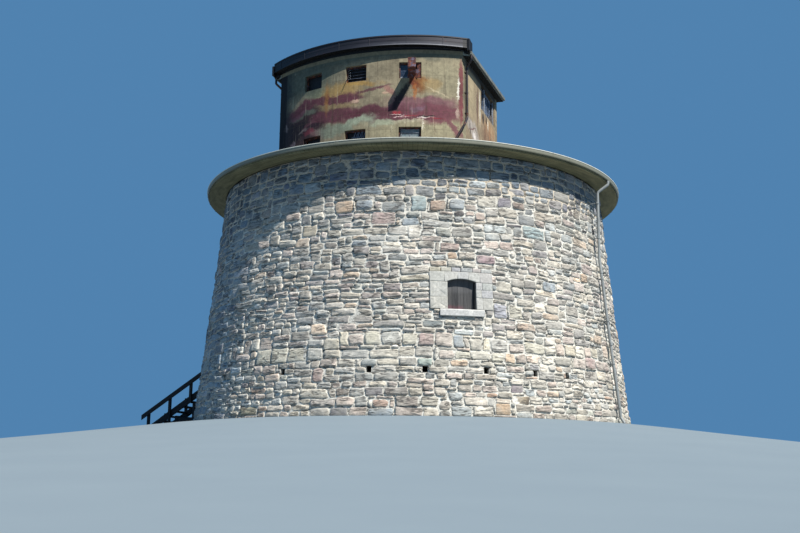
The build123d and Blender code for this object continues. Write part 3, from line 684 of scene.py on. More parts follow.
# ==================================================================== the stones
class Layout:
    """Random rubble brought to rough courses: the lowest gap is always filled
    first, and a stone often ends level with its neighbour."""
    N = 600
    DA = 360.0 / 600
    U = 0.03
    ROWS = 270

    def __init__(self, seed):
        self.rnd = random.Random(seed)
        self.occ = np.full((self.ROWS, self.N), -1, dtype=np.int32)
        self.stones = []

    def col(self, az):
        return int(round((az % 360) / self.DA))

    def block(self, a0, a1, z0, z1):
        c0 = self.col(a0)
        n = max(1, int(round((a1 - a0) / self.DA)))
        r0, r1 = int(round(z0 / self.U)), int(round(z1 / self.U))
        for c in range(c0, c0 + n):
            self.occ[r0:r1, c % self.N] = -2

    def zone(self, z, az):
        """(height range in rows, aspect range, squareness, palette)"""
        rnd = self.rnd
        wave = 0.30 * float(vnoise(az / 14.0, 0.5, seed=5))
        zz = z + wave
        hf = float(vnoise(az / 17.0, z * 1.3, seed=6))
        if zz < 1.74:
            h = 7.2 + 2.2 * hf + rnd.gauss(0, 1.0)
            return (int(round(min(max(h, 4), 11))), 1.4, 3.1, 0.7, "low")
        if zz < 2.05:
            return (rnd.randint(11, 14), 0.95, 1.55, 0.95, "band")
        if zz < 5.9:
            odd = rnd.random()
            if odd < 0.10:
                return (rnd.randint(9, 12), 1.1, 2.2, 0.5, "mid")
            if odd < 0.26:
                return (rnd.randint(3, 4), 2.2, 4.6, 0.4, "mid")
            h = 6.8 + 2.0 * hf + rnd.gauss(0, 0.9)
            return (int(round(min(max(h, 4), 11))), 1.6, 3.6, 0.45, "mid")
        if rnd.random() < 0.26:
            return (rnd.randint(9, 12), 1.0, 2.2, 0.1, "high")
        h = 7.9 + 2.0 * hf + rnd.gauss(0, 1.2)
        return (int(round(min(max(h, 4), 11))), 1.2, 2.8, 0.2, "high")

    def joint(self, row, col):
        """Rows of unbroken upright joint just below row, left of col."""
        occ, N, n = self.occ, self.N, 0
        while row - 1 - n >= 0 and n < 40 and occ[row - 1 - n][(col - 1) % N] != occ[row - 1 - n][col % N]:
            n += 1
        return n

    def fill(self):
        rnd, occ, N = self.rnd, self.occ, self.N
        for row in range(self.ROWS):
            while True:
                empty = np.flatnonzero(occ[row] == -1)
                if len(empty) == 0:
                    break
                if len(empty) == N:
                    start = rnd.randrange(N)
                    length = N
                else:
                    prev = occ[row][(empty - 1) % N]
                    starts = empty[prev != -1]
                    start = int(starts[rnd.randrange(len(starts))])
                    length = 0
                    while occ[row][(start + length) % N] == -1:
                        length += 1
                pos, left = start, length
                while left > 0:
                    az = (pos * self.DA + 180) % 360 - 180
                    h, alo, ahi, sq, pal = self.zone(row * self.U, az)
                    lid = occ[row][(pos - 1) % N]
                    if lid >= 0:
                        lt = self.stones[lid][3] - row
                        if 3 <= lt <= 14 and (self.joint(row, pos) > 9 or abs(lt - h) <= 2 and rnd.random() < 0.88):
                            h = lt
                    w_m = h * self.U * rnd.uniform(alo, ahi)
                    w_m = min(max(w_m, 0.17), 0.98)
                    w = max(3 if h > 4 else 2, int(round(w_m / 0.0765)))
                    if w >= left - 2:
                        w = left if left <= 13 else left // 2
                    w = min(w, left)
                    if w < left - 3:
                        for dw in (0, 1, -1, 2, -2, 3):
                            if w + dw >= 3 and self.joint(row, pos + w + dw) == 0:
                                w += dw
                                break
                    if w == left:
                        rid = occ[row][(pos + w) % N]
                        if rid >= 0:
                            rt = self.stones[rid][3] - row
                            if 3 <= rt <= 14 and (self.joint(row, pos + w) > 9 or abs(rt - h) <= 2 and rnd.random() < 0.7):
                                h = rt
                    cols = [(pos + i) % N for i in range(w)]
                    sub = occ[row:row + 20, cols]
                    busy = np.flatnonzero((sub != -1).any(axis=1))
                    free = int(busy[0]) if len(busy) else sub.shape[0]
                    if h > free or free - h <= 2:
                        h = min(free, 14)
                        if free - h in (1, 2):
                            h = free - 3
                    h = max(h, 1)
                    occ[row:row + h, cols] = len(self.stones)
                    self.stones.append((pos, w, row, row + h, sq, pal))
                    pos = (pos + w) % N
                    left -= w


# single stones that show clearly: left and right azimuth, bottom, top, colour
CREAM, GREYC, PINKC = (198, 190, 168), (188, 184, 172), (194, 178, 163)
OTAN, PINK, BGREY, GBLUE = (190, 160, 130), (184, 158, 148), (150, 157, 160), (152, 167, 165)
SINGLE = [
    (-39.3, -34.8, 1.62, 2.07, CREAM), (-34.8, -30.1, 1.62, 2.10, CREAM), (-30.1, -24.8, 1.62, 2.04, CREAM),
    (-24.8, -20.8, 1.65, 2.01, GREYC), (-20.8, -16.4, 1.71, 2.01, OTAN),
    (-14.3, -10.6, 2.04, 2.37, PINKC), (-10.6, -7.1, 2.04, 2.46, CREAM), (-7.1, -2.6, 2.04, 2.43, GREYC),
    (-2.6, 1.0, 2.01, 2.40, CREAM), (1.0, 5.4, 1.98, 2.40, PINK), (5.4, 9.6, 2.01, 2.46, PINKC),
    (9.6, 12.0, 2.01, 2.40, BGREY), (22.8, 27.2, 1.92, 2.22, PINKC), (27.2, 32.4, 1.92, 2.28, CREAM),
    (41.4, 46.0, 1.59, 1.92, PINKC), (46.0, 51.6, 1.65, 1.98, PINK),
    (13.2, 17.8, 1.65, 1.95, (208, 199, 180)), (17.8, 21.4, 1.62, 1.92, CREAM), (6.0, 9.8, 1.65, 1.92, PINKC),
    (9.8, 13.2, 1.65, 1.92, CREAM),
    (-19.8, -15.0, 6.18, 6.57, (192, 162, 132)), (-0.6, 3.6, 6.18, 6.63, GBLUE), (4.2, 8.6, 6.21, 6.54, (178, 150, 128)),
    (-10.4, -4.2, 5.76, 6.16, PINK), (-3.0, 1.6, 5.73, 5.98, BGREY), (28.8, 35.7, 5.52, 5.91, GBLUE),
    (-28.6, -24.4, 5.52, 5.91, (184, 170, 146)), (6.6, 11.2, 4.92, 5.22, (178, 152, 140)),
    (15.4, 20.2, 4.56, 4.86, (162, 136, 137)), (8.6, 11.2, 4.64, 4.92, (190, 160, 132)),
    (-14.4, -9.6, 6.23, 6.54, BGREY), (-23.0, -20.0, 1.00, 1.42, (180, 154, 142)),
    (18.4, 22.2, 0.10, 0.41, (188, 158, 126)), (-8.6, -5.0, 0.24, 0.48, (190, 152, 130)),
    (-9.6, -3.8, 0.0, 0.24, (154, 165, 172)), (22.2, 25.6, 0.75, 0.98, (140, 128, 131)),
    (22.6, 26.6, 0.44, 0.68, (162, 144, 118)), (-43.2, -37.2, 0.09, 0.36, (160, 151, 126)),
    (9.2, 13.2, 6.27, 6.60, BGREY), (-3.0, 4.2, 3.96, 4.20, (182, 172, 150)), (20.2, 24.2, 3.76, 4.07, (184, 176, 158)),
    (33.4, 38.2, 3.96, 4.30, BGREY), (23.4, 27.2, 2.97, 3.43, CREAM), (19.4, 23.0, 2.94, 3.39, (166, 165, 172)),
    (16.0, 21.8, 6.38, 6.74, (186, 178, 162)), (2.4, 7.0, 2.57, 2.82, (128, 134, 132)),
    (-15.0, -10.8, 5.07, 5.29, BGREY), (-7.2, -2.6, 4.08, 4.31, (158, 157, 152)),
    (-21.6, -17.8, 5.44, 5.68, (188, 179, 160)), (25.2, 30.6, 2.61, 2.88, (188, 164, 142)),
    (-28.4, -23.8, 2.74, 2.97, (158, 156, 150)), (100.0, 105.0, 5.7, 6.06, OTAN), (140.0, 146.0, 4.2, 4.56, PINK),
    (-160.0, -154.5, 2.4, 2.76, CREAM), (175.0, 179.4, 6.0, 6.42, GBLUE), (74.0, 79.0, 3.0, 3.33, OTAN),
    (-70.0, -65.0, 5.1, 5.4, PINK),
    # a flat stone over each vent that shows
    (-32.4, -29.2, 1.44, 1.62, (160, 154, 142)), (-11.4, -8.0, 1.44, 1.65, (158, 160, 154)), (1.4, 4.8, 1.44, 1.68, (158, 172, 160)),
    (15.4, 18.6, 1.44, 1.62, (176, 168, 152)), (27.8, 31.0, 1.44, 1.65, (164, 160, 156)), (37.6, 40.8, 1.44, 1.62, (170, 160, 146))]

OBST = [(WIN_AZ - 7.6, WIN_AZ + 7.6, 3.14, 4.40), (WIN_AZ - 5.25, WIN_AZ + 5.25, 2.93, 3.14),
        (GATE_AZ - 8.1, GATE_AZ + 8.1, 1.77, 4.17)]
VENTS = [(a - 0.60, a + 0.60, 1.26, 1.45) for a in VENT_AZ]

PALETTES = {
    "low": [((170, 163, 153), 26), ((184, 175, 158), 16), ((176, 160, 150), 14), ((152, 152, 148), 12),
            ((150, 157, 159), 9), ((190, 184, 172), 10), ((156, 150, 138), 8), ((182, 158, 134), 4),
            ((128, 120, 114), 6), ((116, 112, 118), 2), ((154, 158, 148), 3), ((176, 142, 118), 2)],
    "band": [((194, 185, 164), 30), ((186, 174, 156), 14), ((188, 170, 156), 14), ((198, 192, 178), 16),
             ((172, 168, 158), 12), ((170, 170, 166), 7), ((190, 164, 136), 3)],
    "mid": [((166, 161, 153), 26), ((178, 170, 156), 16), ((173, 159, 151), 13), ((148, 150, 149), 12),
            ((148, 155, 157), 8), ((186, 179, 166), 10), ((134, 129, 124), 8), ((154, 157, 150), 5),
            ((118, 113, 113), 4), ((146, 133, 129), 4), ((180, 158, 136), 3)],
    "high": [((158, 154, 148), 20), ((172, 163, 150), 14), ((142, 148, 150), 13), ((146, 149, 144), 9),
             ((172, 155, 146), 9), ((126, 129, 132), 10), ((184, 176, 162), 8), ((106, 104, 108), 7),
             ((146, 130, 122), 5), ((180, 158, 134), 3), ((130, 122, 130), 4)],
}

def dist_to(rects, az, z, s_scale=0.128):
    d = np.full(np.broadcast(az, z).shape, 9.0)
    for a0, a1, z0, z1 in rects:
        da = (az - (a0 + a1) / 2 + 180) % 360 - 180
        dx = np.maximum(np.abs(da) - (a1 - a0) / 2, 0) * s_scale
        dz = np.maximum(np.maximum(z0 - z, z - z1), 0)
        d = np.minimum(d, np.hypot(dx, dz))
    return d


def warp_field(az, z):
    """Slow waver of the beds and the upright joints, none beside openings."""
    m = np.clip((dist_to(OBST + VENTS, az, z) - 0.05) / 0.55, 0, 1)
    m = m * np.clip(z / 0.5, 0, 1) * np.clip((8.1 - z) / 0.4, 0, 1)
    x = np.radians(az) * 7.3
    wz = (0.050 * vnoise(x * 0.55, z * 0.5, seed=11) + 0.026 * vnoise(x * 1.7, z * 1.9, seed=12)
          + 0.017 * vnoise(x * 4.3, z * 4.1, seed=14))
    wx = 0.026 * vnoise(x * 1.4, z * 2.3, seed=13) + 0.030 * vnoise(x * 3.9, z * 5.3, seed=15)
    return m * wx, m * wz


def outline(a, b, rc):
    """Sixteen points clockwise: three round each corner, one on each edge's middle."""
    q = 0.29
    pts = []
    for sx, sy in ((1, 1), (1, -1), (-1, -1), (-1, 1)):
        first, second = (sx * (a - rc), sy * b), (sx * a, sy * (b - rc))
        if sx * sy < 0:
            first, second = second, first
        pts.append([first, (sx * (a - q * rc), sy * (b - q * rc)), second])
    seq = [(0.0, b)] + pts[0] + [(a, 0.0)] + pts[1] + [(0.0, -b)] + pts[2] + [(-a, 0.0)] + pts[3]
    return np.array(seq)


class StoneSet:
    def __init__(self):
        self.parts = {}

    def add(self, key, az_c, z_c, w, h, rs, tint, face, rd, edge_depth=0.066, rc=None, jit=1.0,
            warp=True, base=MORTAR_IN, poly=None, flat=0.0):
        a, b = w / 2, h / 2
        if poly is None:
            if rc is None:
                rc = rs.uniform(0.010, 0.036) + 0.06 * rd + rs.uniform(0.02, 0.11) * min(w, h) * (1 - flat)
            rc = min(rc, 0.46 * min(w, h))
            P = outline(a, b, rc)
            j = jit * np.array([min(0.034, 0.09 * w), min(0.024, 0.11 * h)])
            off = rs.uniform(-1.0, 0.15, (4, 2)) * j          # inward at each corner
            u = (P[:, 0] / a + 1) / 2
            vv = (P[:, 1] / b + 1) / 2
            wts = [(1 - u) * (1 - vv), u * (1 - vv), u * vv, (1 - u) * vv]
            sg = [(-1, -1), (1, -1), (1, 1), (-1, 1)]
            D = sum(wt[:, None] * (off[i] * np.array(sg[i])) for i, wt in enumerate(wts))
            bow = rs.uniform(-0.014, 0.007, 4) * jit
            P = P + D
            P[:, 1] += np.where(P[:, 1] > 0, bow[0], -bow[1]) * (1 - np.clip(np.abs(P[:, 0] / a), 0, 1) ** 2)
            P[:, 0] += np.where(P[:, 0] > 0, bow[2], -bow[3]) * (1 - np.clip(np.abs(P[:, 1] / b), 0, 1) ** 2)
            P += rs.normal(0, 0.0072 * jit, P.shape)
        else:
            P = np.array(poly)
        n = len(P)
        ins = [0.0, 0.0, 0.006 + 0.014 * rd, 0.024 + 0.042 * rd]
        gs = [None, 0.62, 0.22 + 0.12 * rd, 0.04 + 0.08 * rd]
        rings, depth, ef = [], [], []
        for k, (dl, g) in enumerate(zip(ins, gs)):
            sx = max(1 - dl / a, 0.35)
            sy = max(1 - dl / b, 0.35)
            rings.append(P * np.array([sx, sy]))
            depth.append(np.full(n, edge_depth if g is None else face + (base - face) * g))
            ef.append(np.full(n, (0.0, 0.12, 0.55, 1.0)[k]))
        for kk in (0.66, 0.33):
            rings.append(rings[3] * kk)
            depth.append(np.full(n, face))
            ef.append(np.full(n, 1.0))
        rings.append(np.zeros((1, 2)))
        depth.append(np.array([face]))
        ef.append(np.array([1.0]))
        Q = np.concatenate(rings)
        Dp = np.concatenate(depth)
        E = np.concatenate(ef)
        wgt = np.concatenate([np.zeros(n), np.full(n, 0.3), np.full(n, 0.75), np.ones(3 * n), [1.0]])
        tl = np.clip(rs.normal(0, 0.045, 2), -0.09, 0.09) * np.array([1.0, 0.9]) * (1 - flat)
        Dp = Dp + wgt * (tl[0] * Q[:, 0] + tl[1] * Q[:, 1])
        Dp = Dp + wgt * rs.normal(0, 0.0030, len(Q)) * (1 - flat)
        part = self.parts.setdefault(key, dict(az=[], x=[], z=[], d=[], e=[], w=[], t=[], f=[], n=0, wp=[], seed=[]))
        k0 = part["n"]
        part["az"].append(np.full(len(Q), az_c))
        part["x"].append(Q[:, 0])
        part["z"].append(z_c + Q[:, 1])
        part["d"].append(Dp)
        part["e"].append(E)
        part["w"].append(wgt * (1 - flat))
        part["t"].append(np.tile(np.array([*tint[:3], 1.0]), (len(Q), 1)))
        part["wp"].append(np.full(len(Q), 1.0 if warp else 0.0))
        part["seed"].append(np.full(len(Q), rs.uniform(0, 900)))
        fs = []
        for k in range(5):
            for i in range(n):
                j2 = (i + 1) % n
                fs.append((k0 + k * n + i, k0 + (k + 1) * n + i, k0 + (k + 1) * n + j2, k0 + k * n + j2))
        for i in range(n):
            fs.append((k0 + 5 * n + i, k0 + 6 * n, k0 + 5 * n + (i + 1) % n))
        fs.append(tuple(k0 + i for i in range(n)))
        part["f"].extend(fs)
        part["n"] += len(Q)

    def make(self, key, name, mat, slot, replaces=()):
        p = self.parts[key]
        az, x, z, d, e, w, t, wp, sd = [np.concatenate(p[q]) for q in ("az", "x", "z", "d", "e", "w", "t", "wp", "seed")]
        a = az + np.degrees(x / R_of(np.clip(z, 0, 8.1)))
        wx, wz = warp_field(a, z)
        a = a + wp * np.degrees(wx / 7.3)
        z = z + wp * wz
        s = np.radians(a) * 7.3
        lump = 0.012 * vnoise(s * 5.0 + sd, z * 6.5, sd, seed=21) + 0.007 * vnoise(s * 14 + sd, z * 17, sd, seed=22)
        d = d + w * lump
        d = np.maximum(d, -np.clip(0.09 * z - 0.004, 0.0, 0.022))
        z = np.clip(z, 0.001, 8.099)
        r = R_of(z) - d
        ar = np.radians(a)
        V = np.stack([r * np.sin(ar), -r * np.cos(ar), z], 1)
        B = Build()
        B.add(V, p["f"], tint=t, edge=e)
        return B.make(name, mat, slot=slot, replaces=replaces)


lay = Layout(20)
for a0, a1, z0, z1 in OBST:
    lay.block(a0, a1, z0, z1)
for a in VENT_AZ:
    lay.block(a - 0.6, a + 0.6, 1.26, 1.44)
own = {}
for a0, a1, z0, z1, colr in SINGLE:
    c0, r0, r1 = lay.col(a0), int(round(z0 / lay.U)), int(round(z1 / lay.U))
    n = max(2, int(round((a1 - a0) / lay.DA)))
    cols = [(c0 + i) % lay.N for i in range(n)]
    if (lay.occ[r0:r1, cols] != -1).any():
        continue
    own[len(lay.stones)] = colr
    lay.occ[r0:r1, cols] = len(lay.stones)
    lay.stones.append((c0, n, r0, r1, 0.9 if z0 < 3 else 0.35, "band"))
lay.fill()

S = StoneSet()
pick = random.Random(5)
SEG0 = -133.2
recs = []
for (c, w, r0, r1, sq, pal) in lay.stones:
    a0, a1 = c * lay.DA, (c + w) * lay.DA
    z0, z1 = r0 * lay.U, r1 * lay.U
    # the edges beside a vent stop exactly at it
    for v0, v1, vz0, vz1 in VENTS:
        for sh in (0, 360):
            if z0 < vz1 - 0.01 and z1 > vz0 + 0.01:
                if abs(a0 - (v1 + sh)) < 0.75 and a1 > v1 + sh:
                    a0 = v1 + sh
                if abs(a1 - (v0 + sh)) < 0.75 and a0 < v0 + sh:
                    a1 = v0 + sh
    az = (a0 + a1) / 2
    az = (az + 180) % 360 - 180
    zc = (z0 + z1) / 2
    rr = R_of(zc)
    wm = math.radians(a1 - a0) * rr
    hm = z1 - z0
    recs.append([az, zc, wm, hm, sq, pal])

tints = []
for az, zc, wm, hm, sq, pal in recs:
    cols = PALETTES[pal]
    tot = sum(wt for _, wt in cols)
    q = pick.uniform(0, tot)
    for col, wt in cols:
        q -= wt
        if q <= 0:
            break
    k = pick.gauss(1.055 if pal != "high" else 1.0, 0.075)
    painted_shade_tint = 0.0
    # painted shade: stones high under the eave, and on the strip of the drum that turns from the light, get darker,
    # bluer tints
    if zc > 6.5:
        k *= 0.95 - 0.10 * min((zc - 6.5) / 1.0, 1.0)
        painted_shade_tint = 0.75 * min((zc - 6.5) / 0.8, 1.0)
    if -84.0 < az < -44.0:
        k *= 1.0 - 0.08 * min((-44.0 - az) / 8.0, (az + 84.0) / 6.0, 1.0)
        painted_shade_tint = max(painted_shade_tint, 0.8 * min((-44.0 - az) / 10.0, (az + 84.0) / 6.0, 1.0))
    hue = pick.gauss(0, 1.2)
    mean = sum(col) / 3.0
    lum = 157 + (0.68 if pal != "high" else 0.92) * (mean - 157)
    tints.append([max(30, min(232, (lum + 0.66 * (q - mean) + (hue - 1.2) * (1 - ch)) * k * (1 + (1 - painted_shade_tint) * (0.030, 0.006, -0.030)[ch]) * (1 - painted_shade_tint * (0.20, 0.10, 0.0)[ch])))
                  for ch, q in enumerate(col)])
for i, colr in own.items():
    mean = sum(colr) / 3.0
    tints[i] = [0.97 * (mean + 0.80 * (q - mean)) for q in colr]

for i, (az, zc, wm, hm, sq, pal) in enumerate(recs):
    rs = np.random.RandomState(1000 + i)
    joint = rs.uniform(0.010, 0.024) if pal != "high" else rs.uniform(0.014, 0.030)
    jv = rs.uniform(0.009, 0.021)
    wq, hq = max(wm - joint, 0.05), max(hm - jv, 0.035)
    rd = float(np.clip(rs.normal(0.5 - 0.4 * sq, 0.2), 0, 1))
    prot = rs.uniform(0.014, 0.044)
    if rs.rand() < 0.30:
        prot = rs.uniform(0.042, 0.066)
    face = MORTAR_IN - prot
    seg = int(((az - SEG0) % 360) // 22.5)
    S.add(seg, az, zc, wq, hq, rs, srgb(*tints[i]), face, rd)

print("stones", len(recs))
for seg in sorted(S.parts):
    S.make(seg, "stones_%02d" % (seg + 1), STONE, "rubble_stone")

# ---------------------------------------------------------- dressed stonework
D = StoneSet()


def rect_block(key, az_c, s0, s1, z0, z1, face, col, seed, depth=0.30, joint=0.010, rd=0.1, base=0.022):
    rr = R_of((z0 + z1) / 2)
    rs = np.random.RandomState(seed)
    a_c = az_c + math.degrees((s0 + s1) / 2 / rr)
    D.add(key, a_c, (z0 + z1) / 2, s1 - s0 - joint, z1 - z0 - joint, rs, srgb(*col), face, rd,
          edge_depth=depth, rc=0.014 if base > 0 else 0.006, jit=0.35 if base > 0 else 0.12, warp=False, flat=0.55, base=base)


def poly_block(key, az_c, pts, face, col, seed, depth=0.30, joint=0.003):
    pts = np.array(pts)
    c = (pts.max(0) + pts.min(0)) / 2
    half = (pts.max(0) - pts.min(0)) / 2
    q = pts - c
    q = q * (1 - joint / 2 / half)
    rs = np.random.RandomState(seed)
    rr = R_of(c[1])
    D.add(key, az_c + math.degrees(c[0] / rr), c[1], 2 * half[0], 2 * half[1], rs, srgb(*col), face, 0.1,
          edge_depth=depth, warp=False, poly=q, flat=0.6, base=-0.001)


def calm(col, k=0.35, v=0.905, to=(172, 171, 167)):
    return tuple(v * (k * q + (1 - k) * (t * 1.09)) for q, t in zip(col, to))


# window: jambs, lintel cut to the low arch, and the thin course over it
jambs = [(-0.958, -0.432, 3.14, 3.50, (188, 180, 160)), (-0.958, -0.432, 3.50, 3.96, (192, 187, 172)),
         (0.432, 0.64, 3.14, 3.50, (200, 195, 182)), (0.432, 0.60, 3.50, 3.74, (200, 196, 184)),
         (0.432, 0.63, 3.74, 3.96, (188, 184, 182)), (0.64, 0.958, 3.14, 3.50, (186, 180, 164)),
         (0.60, 0.958, 3.50, 3.74, (178, 175, 180)), (0.63, 0.958, 3.74, 3.96, (178, 182, 172))]
for i, (s0, s1, z0, z1, col) in enumerate(jambs):
    rect_block("surround", WIN_AZ, s0, s1, z0, z1, -0.010 + 0.001 * (i % 3), calm(col), 300 + i, joint=0.003, base=-0.001)


def arch_z(s):
    # circle through (+-0.43, 3.98) and (0, 4.06)
    rad = (0.43 ** 2 + 0.08 ** 2) / (2 * 0.08)
    return 4.06 - rad + math.sqrt(rad * rad - s * s) if abs(s) < 0.43 else 3.98


lint = [(-0.958, -0.52, (192, 188, 172)), (-0.52, -0.12, (204, 198, 184)), (-0.12, 0.20, (200, 198, 194)),
        (0.20, 0.56, (206, 202, 190)), (0.56, 0.958, (188, 178, 170))]
for i, (s0, s1, col) in enumerate(lint):
    n = 8
    low = [(s0 + (s1 - s0) * k / n, arch_z(s0 + (s1 - s0) * k / n) if (s0 + (s1 - s0) * k / n) > -0.44 and
            (s0 + (s1 - s0) * k / n) < 0.44 else 3.965) for k in range(n + 1)]
    top = [(s1, 4.27), ((s0 + s1) / 2, 4.272), (s0, 4.27)]
    pts = [(s0 + (s1 - s0) / 2, 4.272), (s1, 4.27), (s1, 4.14)] + low[::-1] + [(s0, 4.14), (s0, 4.27)]
    poly_block("surround", WIN_AZ, pts, -0.010, calm(col), 320 + i)
thin = [(-0.958, -0.62, (196, 182, 148)), (-0.62, -0.30, (186, 178, 156)), (-0.30, -0.02, (170, 167, 172)),
        (-0.02, 0.34, (168, 170, 168)), (0.34, 0.60, (182, 166, 158)), (0.60, 0.958, (172, 172, 166))]
for i, (s0, s1, col) in enumerate(thin):
    rect_block("surround", WIN_AZ, s0, s1, 4.272, 4.40, -0.004, calm(col, 0.5, 0.89), 340 + i, joint=0.006, rd=0.3, base=0.004)
D.make("surround", "window_dressed_stones", DRESSED, "dressed_stone", replaces=["window_surround"])

# doorway: quoins each side, one long lintel between two shorter stones
hts = [0.36, 0.30, 0.38, 0.28, 0.36, 0.32]
for side in (-1, 1):
    z = 1.80
    for i, hh in enumerate(hts):
        wlong = 0.47 if (i + (side > 0)) % 2 else 0.33
        s0, s1 = 0.552, 0.552 + wlong
        col = [(198, 188, 166), (184, 178, 164), (204, 198, 184), (176, 168, 150), (192, 176, 160), (186, 184, 176)][(i * 2 + (side > 0)) % 6]
        a0, a1 = (s0, s1) if side > 0 else (-s1, -s0)
        rect_block("door", GATE_AZ, a0, a1, z, z + hh, 0.002, col, 400 + i + 10 * (side > 0), depth=0.34)
        if wlong < 0.4:
            b0, b1 = s1, 1.02
            b0, b1 = (b0, b1) if side > 0 else (-b1, -b0)
            rect_block("door", GATE_AZ, b0, b1, z, z + hh * 0.52, 0.006, (168, 160, 146), 430 + i, depth=0.06, rd=0.4)
            rect_block("door", GATE_AZ, b0, b1, z + hh * 0.52, z + hh, 0.010, (182, 176, 164), 450 + i, depth=0.06, rd=0.4)
        z += hh
for s0, s1, col, sd in ((-1.02, -0.62, (184, 176, 158), 470), (-0.62, 0.62, (200, 192, 172), 471), (0.62, 1.02, (176, 172, 164), 472)):
    rect_block("door", GATE_AZ, s0, s1, 3.80, 4.16, 0.0, col, sd, depth=0.34)
D.make("door", "doorway_dressed_stones", DRESSED, "dressed_stone")

# ---------------------------------------------------------------- window sill
B = Build()
rs = np.random.RandomState(9)
ws = R_of(3.14)
prof = [(ws - 0.30, 2.932), (R_of(2.93) + 0.038, 2.932), (R_of(2.93) + 0.0465, 2.942), (R_of(2.93) + 0.0465, 3.104),
        (R_of(2.93) + 0.038, 3.114), (ws + 0.014, 3.139), (ws - 0.30, 3.139)]
jog = rs.uniform(-0.0035, 0.0, (64, 7, 2))
arc_sweep(B, prof, WIN_AZ - 5.24, WIN_AZ + 5.24, 24,
          wob=lambda az, j: tuple(jog[int((az - WIN_AZ + 6) * 4) % 64, j] * (0 if j in (0, 6) else 1)),
          tint=np.array(srgb(186, 184, 180))[:3], edge=1.0)
B.make("window_sill_stone", DRESSED, slot="dressed_stone", replaces=["window_sill"], sharp=35)


# ================================================== materials of the other parts
def local(M):
    """(right, back, height) of the post, and its arc length and azimuth."""
    n = M.vmath('DOT_PRODUCT', M.co, tuple(NV), out=1)
    u = M.vmath('DOT_PRODUCT', M.co, tuple(UV), out=1)
    z = M.sep()[2]
    s = M.math('MULTIPLY', M.math('ARCTAN2', n, M.math('MULTIPLY', u, -1.0)), 5.8)
    return n, u, z, s


def blob(M, P, base, col, s0, z0, a, b, rot=0.0, soft=0.30, k=1.0):
    v = M.map(P, loc=(s0, z0, 0), rot=(0, 0, math.radians(rot)), scale=(a, b, 1), kind='TEXTURE')
    d = M.vmath('LENGTH', v, out=1)
    return M.mix(M.rng(d, 1 + soft, 1 - soft, 0.0, k), base, srgb(*col))


